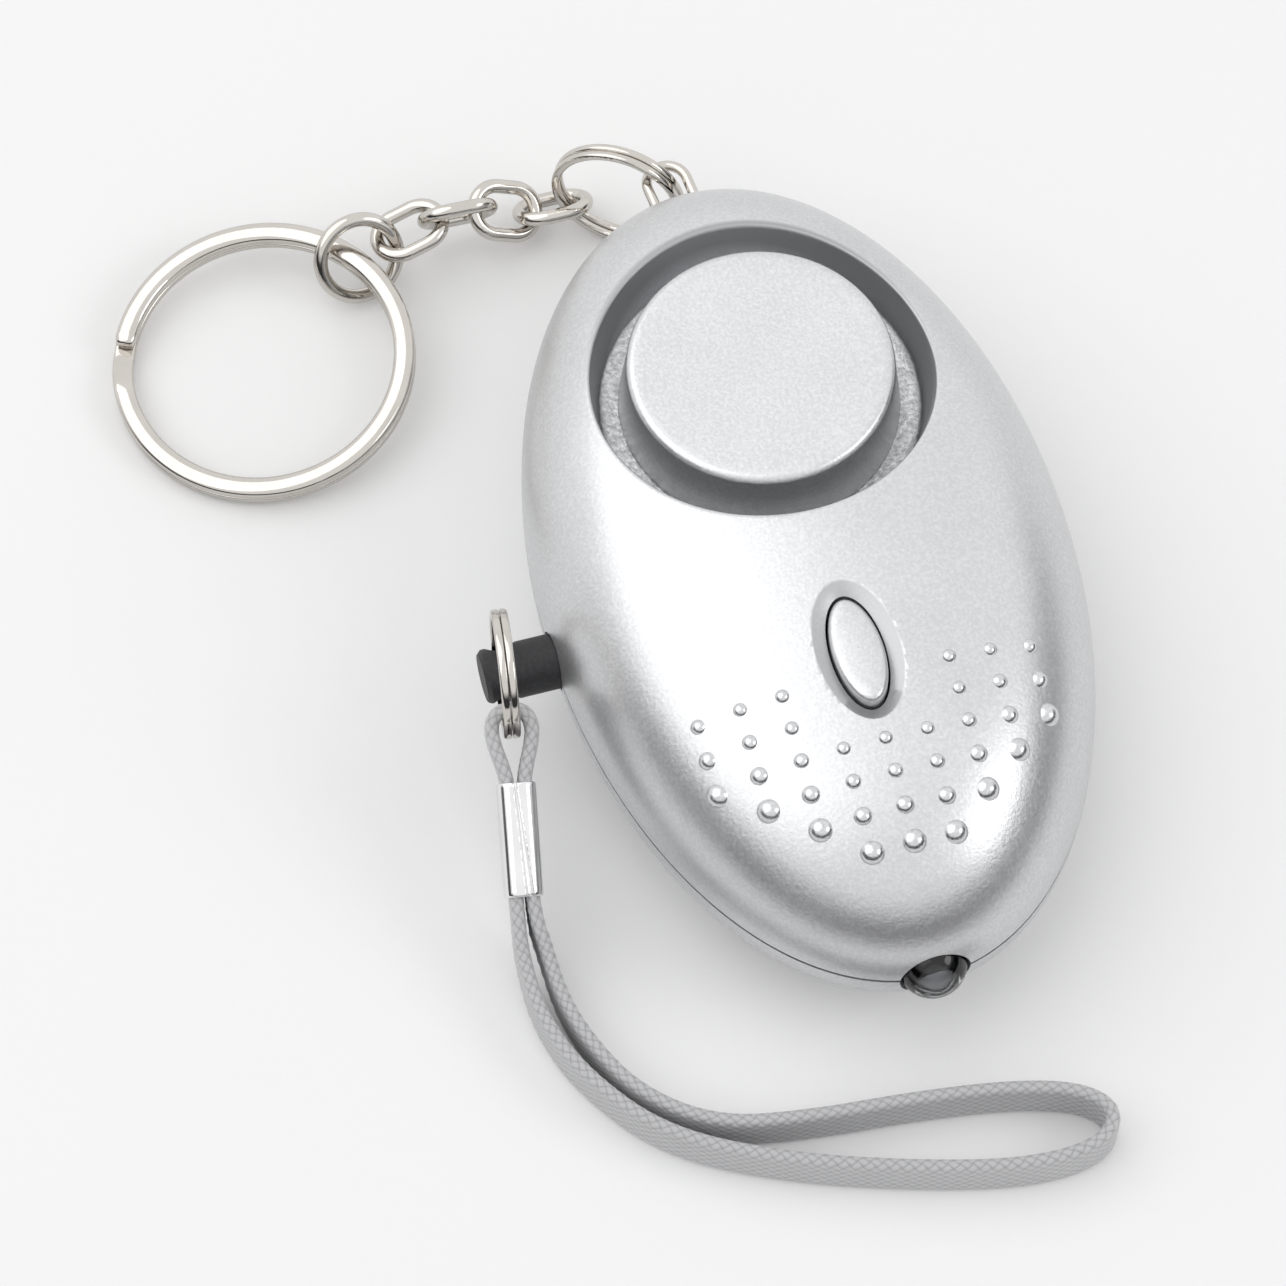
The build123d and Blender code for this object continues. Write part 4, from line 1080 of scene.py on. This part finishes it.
def rear_skin(sizes):
    """The rear shell: flat rest face, shallow dome and the sunk screw seats."""
    section = Section(HALF_WIDTH, sizes.rear_rise / MM, *REAR_RADII)
    steps, levels, lip = 480, 90, 0.985
    face_shares = (0.02, 0.5, 0.9, 0.97)
    flat = section.run_of_height(PARTING_Z)
    columns = []
    for heading in circle(steps):
        column = []
        for share in face_shares:
            x, y = ray_to_reach(0.0, heading, section.at_run(flat)[0] * share)
            column.append(Vector((x, y, 0)))
        for index in range(levels + 1):
            run = flat + (section.length() - flat) * index / levels
            reach, level = section.at_run(run)
            x, y = ray_to_reach(0.0, heading, min(reach, HALF_WIDTH))
            column.append(Vector((x, y, PARTING_Z - level)))
        last = column[-1]
        column.append(Vector((last.x * lip, last.y * lip, PARTING_Z)))
        columns.append(column)
    skin = Skin([list(ring) for ring in zip(*columns)])
    side_holes(skin)
    for x, y, level in SCREW_PLACES:
        def seat(point, x=x, y=y):
            if point.z > PARTING_Z - 1:
                return 1.0
            return sqrt((point.x - x) ** 2 + (point.y - y) ** 2) - SCREW_SEAT_RADIUS

        def wall(point, level=level):
            return Vector((point.x, point.y, level + SCREW_SEAT_DEPTH))

        skin.punch(seat, wall)
    return skin.mesh("rear_skin")


def cross_sink(radius, turn):
    """How deep the cross recess is at a place on a screw's head."""
    arm_half, arm_reach, slope, depth, twist = 0.2, 0.85, 0.08, 0.4, 0.4
    u, v = (abs(radius * part(turn + twist)) for part in (cos, sin))
    arm = min(max(u - arm_half, v - arm_reach), max(v - arm_half, u - arm_reach))
    return depth * min(max(-arm / slope, 0), 1)


def sunk_screws(top):
    """The four shell screws: a head with a cross recess below and a straight shank above."""
    head_radius, shank_radius, tip_radius, head_height, edge_rise = 1.5, 0.85, 0.05, 1.0, 0.18
    steps, rows = 96, 30
    skin = Skin()
    for x, y, level in SCREW_PLACES:
        rings = []
        for row in range(1, rows + 1):
            radius = head_radius * row / rows
            rise = edge_rise * max(radius / head_radius * 4 - 3, 0) ** 2
            rings.append([Vector((x + radius * cos(turn), y + radius * sin(turn),
                                  level + rise + cross_sink(radius, turn)))
                          for turn in circle(steps)])
        for radius, height in ((head_radius, level + head_height), (shank_radius, level + head_height),
                               (shank_radius, top), (tip_radius, top)):
            rings.append(turned_ring(x, y, radius, height, steps))
        skin.add_rings(rings, close_start=True, close_end=True)
    return skin.mesh("sunk_screws", sharp=30)


def turned_ring(x, y, radius, height, steps):
    """A level circle of points round a place in plan."""
    return [Vector((x + radius * cos(turn), y + radius * sin(turn), height))
            for turn in circle(steps)]


def corner_arc(centre, radius, start, end, steps=8):
    """Points of a turned profile's corner, in degrees from outward."""
    turns = [radians(start + (end - start) * index / steps) for index in range(steps + 1)]
    return [(centre[0] + radius * cos(turn), centre[1] + radius * sin(turn)) for turn in turns]


def siren_cap(sizes):
    """The siren's cap: a faintly dished top, a rounded edge and a skirt that flares."""
    edge, margin, skirt_flare, skirt_start, lift, steps = 0.62, 0.4, 0.1, 1.6, 0.02, 256
    dish = {0.02: 0.06, 2.0: 0.055, 4.5: 0.04, 7.0: 0.02}
    top = sizes.cap_top / MM
    reach = sizes.cap_radius / MM - edge
    profile = [(radius, top - sink) for radius, sink in dish.items()]
    profile.append((reach - margin, top))
    profile += corner_arc((reach, top - edge), edge, start=90, end=6)
    profile.append((sizes.cap_radius / MM + skirt_flare, top - skirt_start))
    profile.append((sizes.cap_base / MM, sizes.recess_floor / MM + lift))
    place = sizes.cap_y / MM
    return Skin([turned_ring(0, place, *spot, steps) for spot in profile]).mesh("siren_cap")


def button_cap(sizes):
    """The oval torch button: a low crown, a soft edge and a straight stem."""
    crown, edge, edge_lift, stem, steps = 0.1, 0.5, 0.03, 2.4, 128
    crown_shares = (0.01, 0.25, 0.5, 0.7)
    top = sizes.button_top / MM
    place = sizes.button_y / MM
    half = sizes.button_width / MM / 2
    stretch = sizes.button_length / sizes.button_width
    low = top - crown
    profile = [(half * share, top - crown * share**2) for share in crown_shares]
    profile += corner_arc((half - edge, low - edge + edge_lift), edge, start=80, end=0)
    profile.append((half, low - stem))
    rings = []
    for radius, height in profile:
        on_crown = radius <= crown_shares[-1] * half
        along = radius * stretch if on_crown else half * (stretch - 1) + radius
        rings.append([Vector((radius * cos(turn), place + along * sin(turn), height))
                      for turn in circle(steps)])
    return Skin(rings).mesh("button_cap")


def strap_place(along, side=0.0, up=0.0):
    """A place in the strap's own directions, in metres."""
    spot = Vector(STRAP_SPOT) + Vector(STRAP_ALONG) * along
    return (spot + Vector(STRAP_SIDE) * side + Vector(STRAP_UP) * up) * MM


def pressed_crimp(sizes):
    """The pressed metal clip: rounded corners, rolled ends and a slanting seam on its face."""
    side_margin, up_margin, quarter = 0.41, 0.333, 90
    half_side = sizes.thickness / MM + side_margin
    half_up = sizes.width / MM / 2 + up_margin
    corner, corner_steps, mesh_step, length_steps = 1.05, 8, 0.05, 40
    length = CRIMP_END - CRIMP_START
    outline = []
    for corner_number, (way_side, way_up) in enumerate(((1, 1), (-1, 1), (-1, -1), (1, -1))):
        for step in range(corner_steps + 1):
            turn = radians(quarter * corner_number + quarter * step / corner_steps)
            outline.append(Vector((way_side * (half_side - corner) + corner * cos(turn),
                                   way_up * (half_up - corner) + corner * sin(turn), 0)))
    even = even_steps([*outline, outline[0]], mesh_step)[:-1]
    mouth, roll = 0.6, 0.16
    rolled_end = ((mouth, 0.32), (0.03, 0.3), (0.0, roll), (0.05, 0.04))
    stations = list(rolled_end)
    stations += [(roll + (length - 2 * roll) * step / length_steps, 0.0)
                 for step in range(length_steps + 1)]
    stations += [(length - run, inset) for run, inset in reversed(rolled_end)]
    seam_start, seam_lean, seam_half_start, seam_widening = -0.1, 0.55, 0.16, 0.14
    seam_depth, face_depth, rolled = 0.3, 0.4, 0.2
    rings = []
    for run, inset in stations:
        seam = seam_start + seam_lean * run / length
        seam_half = seam_half_start + seam_widening * run / length
        ring = []
        for spot in even:
            side = spot.x * (1 - inset / half_side)
            up = spot.y * (1 - inset / half_up)
            away = abs(side - seam)
            if up > half_up - face_depth and away < seam_half and inset < rolled:
                up -= seam_depth * (1 - (away / seam_half) ** 2)
            ring.append(strap_place(CRIMP_START + run, side, up) / MM)
        rings.append(ring)
    return Skin(rings).mesh("pressed_crimp", sharp=50)


def lamp_cup():
    """The lamp's inner cup on its two posts, seen through the lens."""
    steps = 48
    # Radius of the cup's outline, and its place along the lamp
    profile = ((0.35, -28.1), (0.5, -28.3), (0.95, -28.35), (1.15, -28.9), (1.25, -29.3),
               (1.15, -29.32), (0.7, -28.95), (0.3, -28.85), (0.01, -28.84))
    skin = Skin([
        [Vector((radius * cos(turn), y, PARTING_Z + radius * sin(turn))) for turn in circle(steps)]
        for radius, y in profile
    ])
    for way, front_y in ((-1, -28.6), (1, -29.1)):
        # Place along the lamp, to the side and down, and half the thickness of the post
        stations = ((-25.6, 1.27, 0.0, 0.15), (-27.6, 1.27, 0.0, 0.15),
                    (-28.0, 0.95, 0.5, 0.42), (front_y, 0.95, 0.5, 0.36))
        skin.add_rings([
            [Vector((way * out + side * half, y, PARTING_Z - down + up * half))
             for side, up in SQUARE]
            for y, out, down, half in stations
        ], close_end=True)
    return skin.mesh("lamp_cup", sharp=30)


class ALARM_OT_stage(bpy.types.Operator):
    """Adds the camera, the floor, the lamps and the world"""

    bl_idname = "alarm.stage"
    bl_label = "Stage"

    def execute(self, context):
        settings = context.scene.alarm_stage
        context.scene.view_settings.view_transform = "Standard"
        self.add_camera(context.scene, settings)
        self.add_floor(context.scene, context.scene.alarm_colours.floor)
        self.add_world(context.scene, settings.world_level)
        self.add_card(context.scene)
        self.add_lamp("key_lamp", place=(-0.32, 0.16, 0.55), size=0.9, power=settings.key_power)
        self.add_lamp("fill_lamp", place=(0.5, -0.25, 0.4), size=0.35, power=settings.fill_power)
        return {"FINISHED"}

    @staticmethod
    def add_camera(scene, settings):
        tilt, turn, roll = settings.elevation, settings.azimuth, settings.roll
        right = Vector((cos(turn), -sin(turn), 0))
        up = Vector((sin(turn) * sin(tilt), cos(turn) * sin(tilt), cos(tilt)))
        toward = Vector((-sin(turn) * cos(tilt), -cos(turn) * cos(tilt), sin(tilt)))
        across = right * cos(roll) + up * sin(roll)
        rise = up * cos(roll) - right * sin(roll)
        frame_pixels = 1286.0
        aim = -toward * settings.focal_pixels
        aim += across * (frame_pixels / 2 - settings.centre_x)
        aim += rise * (settings.centre_y - frame_pixels / 2)
        back = -aim.normalized()
        across = (across - back * across.dot(back)).normalized()
        rise = back.cross(across)
        camera = bpy.data.cameras.new("camera")
        camera.sensor_width = 36.0
        camera.lens = camera.sensor_width * settings.focal_pixels / frame_pixels
        camera.clip_start = 0.01
        holder = bpy.data.objects.new("camera", camera)
        spot = Vector((0, 0, PARTING_Z * MM)) + toward * settings.distance
        turned = Matrix((across, rise, back)).transposed().to_4x4()
        holder.matrix_world = Matrix.Translation(spot) @ turned
        scene.collection.objects.link(holder)
        scene.camera = holder

    @staticmethod
    def add_floor(scene, colour):
        reach, haze, cloud_spread = 1.5, 0.045, 0.005
        finish = Finish("floor_paper", roughness=0.9, specular_ior_level=0.1, emission_strength=1.0)
        finish.feed("Base Color", finish.mix(
            finish.noise(size=0.02), shade_of(colour, 1 - cloud_spread),
            shade_of(colour, 1 + cloud_spread),
        ))
        seen = finish.node("ShaderNodeLightPath")
        finish.feed("Emission Color", finish.mix(seen, (0.0, 0.0, 0.0), (haze, haze, haze)))
        corners = [Vector((x * reach, y * reach, 0)) for x, y in SQUARE]
        mesh = grid_mesh("floor", [corners[:2], [corners[3], corners[2]]], closed=False)
        mesh.materials.append(finish.material)
        floor_piece = bpy.data.objects.new("floor", mesh)
        scene.collection.objects.link(floor_piece)

    @staticmethod
    def add_card(scene):
        """A low grey card round the near half of the table, which only reflections see."""
        finish = Finish("grey_card", roughness=1.0, base_color=(0, 0, 0), emission_strength=1.0)
        reach, height, first_turn, spread, steps = 0.6, 0.38, 140, 260, 64
        _, near, level = finish.axes(finish.position())
        fade = near.clear(low=0.02, high=0.3) + level.clear(low=0.2, high=0.36)
        finish.feed("Emission Color", finish.mix(
            fade.clear(0.0, 1.0), (0.035, 0.035, 0.04), (1.0, 1.0, 1.0)
        ))
        turns = [radians(first_turn + spread * step / steps) for step in range(steps + 1)]
        rings = [[Vector((reach * cos(turn), reach * sin(turn), edge)) for turn in turns]
                 for edge in (0.0, height)]
        card = bpy.data.objects.new("grey_card", grid_mesh("grey_card", rings, closed=False))
        card.data.materials.append(finish.material)
        for ray in ("camera", "diffuse", "shadow", "transmission"):
            setattr(card, f"visible_{ray}", False)
        scene.collection.objects.link(card)

    @staticmethod
    def add_world(scene, level):
        world = bpy.data.worlds.new("studio")
        world.use_nodes = True
        scene.world = world
        sky = Finish("studio", world.node_tree)
        path = sky.node("ShaderNodeLightPath")
        seen = path
        for name in ("Is Glossy Ray", "Is Transmission Ray"):
            seen = seen.math("MAXIMUM", Signal(sky, path.socket.node.outputs[name]))
        sky.feed("Strength", level + seen * (1 - level))
        sky.feed("Color", (1.0, 1.0, 1.0))

    @staticmethod
    def add_lamp(name, place, size, power):
        light = bpy.data.lights.new(name, "AREA")
        light.shape = "DISK"
        light.size = size
        light.energy = power
        holder = bpy.data.objects.new(name, light)
        holder.location = place
        holder.rotation_euler = (-Vector(place)).to_track_quat("-Z", "Y").to_euler()
        bpy.context.scene.collection.objects.link(holder)


class ALARM_OT_strap(bpy.types.Operator):
    """Adds the braided wrist loop, its fold round the ring and the pressed crimp"""

    bl_idname = "alarm.strap"
    bl_label = "Wrist strap"

    def execute(self, context):
        sizes = context.scene.alarm_strap
        yarn = braid_yarn(context.scene.alarm_colours.braid, sizes)
        line = route_line([Vector(point) * MM for point in STRAP_ROUTE], sizes.ring_step)
        ups = [Vector((0, 0, 1))] * len(line)
        loop = place_piece(
            "strap_braid", braid_tape("strap_braid", line, ups, sizes), "strap", yarn, "strap",
            "strap_loop",
        )
        fold_line = route_line(
            [strap_place(along, side) for along, side in FOLD_ROUTE], sizes.ring_step
        )
        fold_ups = [Vector(STRAP_UP)] * len(fold_line)
        fold = place_piece(
            "strap_fold", braid_tape("strap_fold", fold_line, fold_ups, sizes), "strap", yarn,
            "strap", "strap_eye",
        )
        plate = nickel_plate((0.86, 0.86, 0.86), "crimp_plate", gloss=0.06)
        crimp = place_piece(
            "pressed_crimp", pressed_crimp(sizes), "strap", plate, "nickel", "strap_crimp"
        )
        strap_place(CRIMP_END, -0.575)
        return {"FINISHED"}


class ALARM_OT_shells(bpy.types.Operator):
    """Finishes the two shells, the siren cap and the torch button"""

    bl_idname = "alarm.shells"
    bl_label = "Shells, siren cap and button"

    def execute(self, context):
        sizes = context.scene.alarm_shells
        silver = context.scene.alarm_colours.silver
        paint = silver_paint(silver, sizes)
        gloss = silver_paint(silver, sizes, "dome_paint", gloss=0.2)
        place_piece("front_skin", front_skin(sizes), "alarm_body", paint, "silver", "front_shell")
        place_piece("grip_domes", grip_domes(sizes), "alarm_body", gloss, "silver")
        place_piece("rear_skin", rear_skin(sizes), "alarm_body", paint, "silver", "rear_shell")
        place_piece("siren_cap", siren_cap(sizes), "alarm_body", paint, "silver", "sounder_cap")
        place_piece(
            "button_cap", button_cap(sizes), "torch_button", paint, "silver", "torch_button"
        )
        return {"FINISHED"}


class ALARM_OT_lamp(bpy.types.Operator):
    """Adds the clear lamp with its cup and posts"""

    bl_idname = "alarm.lamp"
    bl_label = "Torch lamp"

    def execute(self, context):
        dress("torch_lamp", lens_resin(context.scene.alarm_colours.lens))
        steel = nickel_plate((0.7, 0.7, 0.68), "lamp_steel", gloss=0.15)
        place_piece("lamp_cup", lamp_cup(), "alarm_body", steel, "tin")
        return {"FINISHED"}


def rounded(part, power):
    """A cosine or sine pushed out towards a square's side."""
    return abs(part) ** power * (1 if part > 0 else -1)


def wound_ring(name, centre, normal, start, radius, half_band, half_coil, crossing, fullness):
    """A split ring: two turns of wire, rounded outside, that change places at the start."""
    around, turn_steps, half_gap, squareness = 40, 240, 0.03, 6.0
    tip_size, tip_growth = 0.8, 0.1
    shift = half_coil + half_gap
    side = normal.cross(start).normalized()
    begin, end = crossing / 2, 4 * pi - crossing / 2
    count = int(turn_steps * (end - begin) / (2 * pi))
    rings = []
    for step in range(count + 1):
        turn = begin + (end - begin) * step / count
        share = min(max((turn - 2 * pi) / crossing + 0.5, 0), 1)
        share = share * share * (3 - 2 * share)
        out = start * cos(turn) + side * sin(turn)
        middle = centre + out * radius + normal * shift * (2 * share - 1)
        size = min(1.0, tip_size + tip_growth * min(step, count - step))
        ring = []
        for angle in circle(around):
            across, along = cos(angle), sin(angle)
            outer = share if along > 0 else 1 - share
            power = 2 / (squareness - (squareness - fullness) * outer)
            ring.append((middle + out * rounded(across, power) * half_band * size
                         + normal * rounded(along, power) * half_coil * size) * MM)
        rings.append(ring)
    return grid_mesh(name, rings, caps=True)


class ALARM_OT_metalwork(bpy.types.Operator):
    """Finishes the bail, the split rings, the chain and the key ring"""

    bl_idname = "alarm.metalwork"
    bl_label = "Rings and chain"

    def execute(self, context):
        plate = nickel_plate(context.scene.alarm_colours.nickel)
        for node in ("bail_link", "body_ring",
                     *[f"chain_link_{index}" for index in range(1, 6)]):
            dress(node, plate)
        normal = Vector(KEY_RING_NORMAL)
        start = Matrix.Rotation(radians(KEY_RING_SPLIT_DEGREES), 3, normal) @ Vector(KEY_RING_AWAY)
        ring = wound_ring(
            "key_ring_wire", Vector(KEY_RING_PLACE), normal, start,
            radius=10.75, half_band=0.8, half_coil=0.45, crossing=0.42, fullness=2.1,
        )
        place_piece("key_ring_wire", ring, "key_ring", plate, "nickel", "key_ring")
        normal = Vector(STRAP_RING_NORMAL)
        ring = wound_ring(
            "strap_ring_wire", Vector(STRAP_RING_PLACE), normal, Vector(STRAP_RING_PIN_WAY),
            radius=4.4, half_band=0.29, half_coil=0.29, crossing=0.5, fullness=2.6,
        )
        place_piece("strap_ring_wire", ring, "strap_ring", plate, "nickel", "strap_ring")
        return {"FINISHED"}


class ALARM_OT_pin(bpy.types.Operator):
    """Finishes the black pull pin"""

    bl_idname = "alarm.pin"
    bl_label = "Pull pin"

    def execute(self, context):
        dress("pull_pin", pin_plastic(context.scene.alarm_colours.pin))
        return {"FINISHED"}


class ALARM_OT_inside(bpy.types.Operator):
    """Finishes the board, the cells, the siren plate and the screws"""

    bl_idname = "alarm.inside"
    bl_label = "Inside parts"

    def execute(self, context):
        colours = context.scene.alarm_colours
        dark = plain_finish("dark_moulding", (0.03, 0.03, 0.033), roughness=0.5)
        steel = plain_finish(
            "screw_steel", (0.55, 0.55, 0.56), roughness=0.3, metallic=1.0, grain=0.0003
        )
        tin = plain_finish(
            "tinned_strip", (0.68, 0.67, 0.64), roughness=0.28, metallic=1.0, grain=0.0005
        )
        can = plain_finish(
            "cell_can", (0.62, 0.62, 0.62), roughness=0.25, metallic=1.0, grain=0.0006
        )
        parts = plain_finish("chip_parts", (0.28, 0.2, 0.12), roughness=0.45)
        brass = plain_finish("rolled_brass", (0.68, 0.48, 0.2), roughness=0.3, metallic=1.0)
        ceramic = plain_finish(
            "silvered_ceramic", (0.7, 0.69, 0.66), roughness=0.4, metallic=0.4
        )
        wire = plain_finish("red_insulation", (0.4, 0.03, 0.03), roughness=0.5)
        groups = (
            (board_lacquer(colours.board), ("circuit_board",)),
            (dark, ("switch_body", "switch_plunger", "controller_chip", "boost_coil",
                    "siren_gasket", "pin_socket")),
            (steel, ("board_screws",)),
            (tin, ("lamp_leads", "battery_plate", "battery_spring", "pin_fixed_contact",
                   "pin_leaf_contact")),
            (parts, ("board_components",)),
            (brass, ("siren_plate",)),
            (ceramic, ("siren_ceramic",)),
            (wire, ("siren_wires",)),
            (can, ("button_cell_1", "button_cell_2", "button_cell_3")),
        )
        for material, nodes in groups:
            for node in nodes:
                dress(node, material)
        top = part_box("shell_screws")[1][2] / MM
        place_piece("sunk_screws", sunk_screws(top), "alarm_body", steel, "screw", "shell_screws")
        return {"FINISHED"}


OPERATORS = (
    ALARM_OT_stage,
    ALARM_OT_strap,
    ALARM_OT_shells,
    ALARM_OT_lamp,
    ALARM_OT_metalwork,
    ALARM_OT_pin,
    ALARM_OT_inside,
)


class ALARM_PT_sidebar(bpy.types.Panel):
    """Lists the alarm's sizes, colours and pieces"""

    bl_idname = "ALARM_PT_sidebar"
    bl_label = "Personal Safety Alarm"
    bl_space_type = "VIEW_3D"
    bl_region_type = "UI"
    bl_category = "Alarm"

    def draw(self, context):
        for key, group in GROUPS.items():
            box = self.layout.box()
            for name in group.__annotations__:
                box.prop(getattr(context.scene, key), name)
        for operator in OPERATORS:
            self.layout.operator(operator.bl_idname)


def register():
    for group in (*GROUPS.values(), *OPERATORS, ALARM_PT_sidebar):
        bpy.utils.register_class(group)
    for key, group in GROUPS.items():
        setattr(bpy.types.Scene, key, bpy.props.PointerProperty(type=group))


def unregister():
    for key in GROUPS:
        delattr(bpy.types.Scene, key)
    for group in reversed((*GROUPS.values(), *OPERATORS, ALARM_PT_sidebar)):
        bpy.utils.unregister_class(group)


def main():
    """Makes every piece."""
    register()
    for operator in OPERATORS:
        group, name = operator.bl_idname.split(".")
        getattr(getattr(bpy.ops, group), name)()


if __name__ == "__main__":
    main()
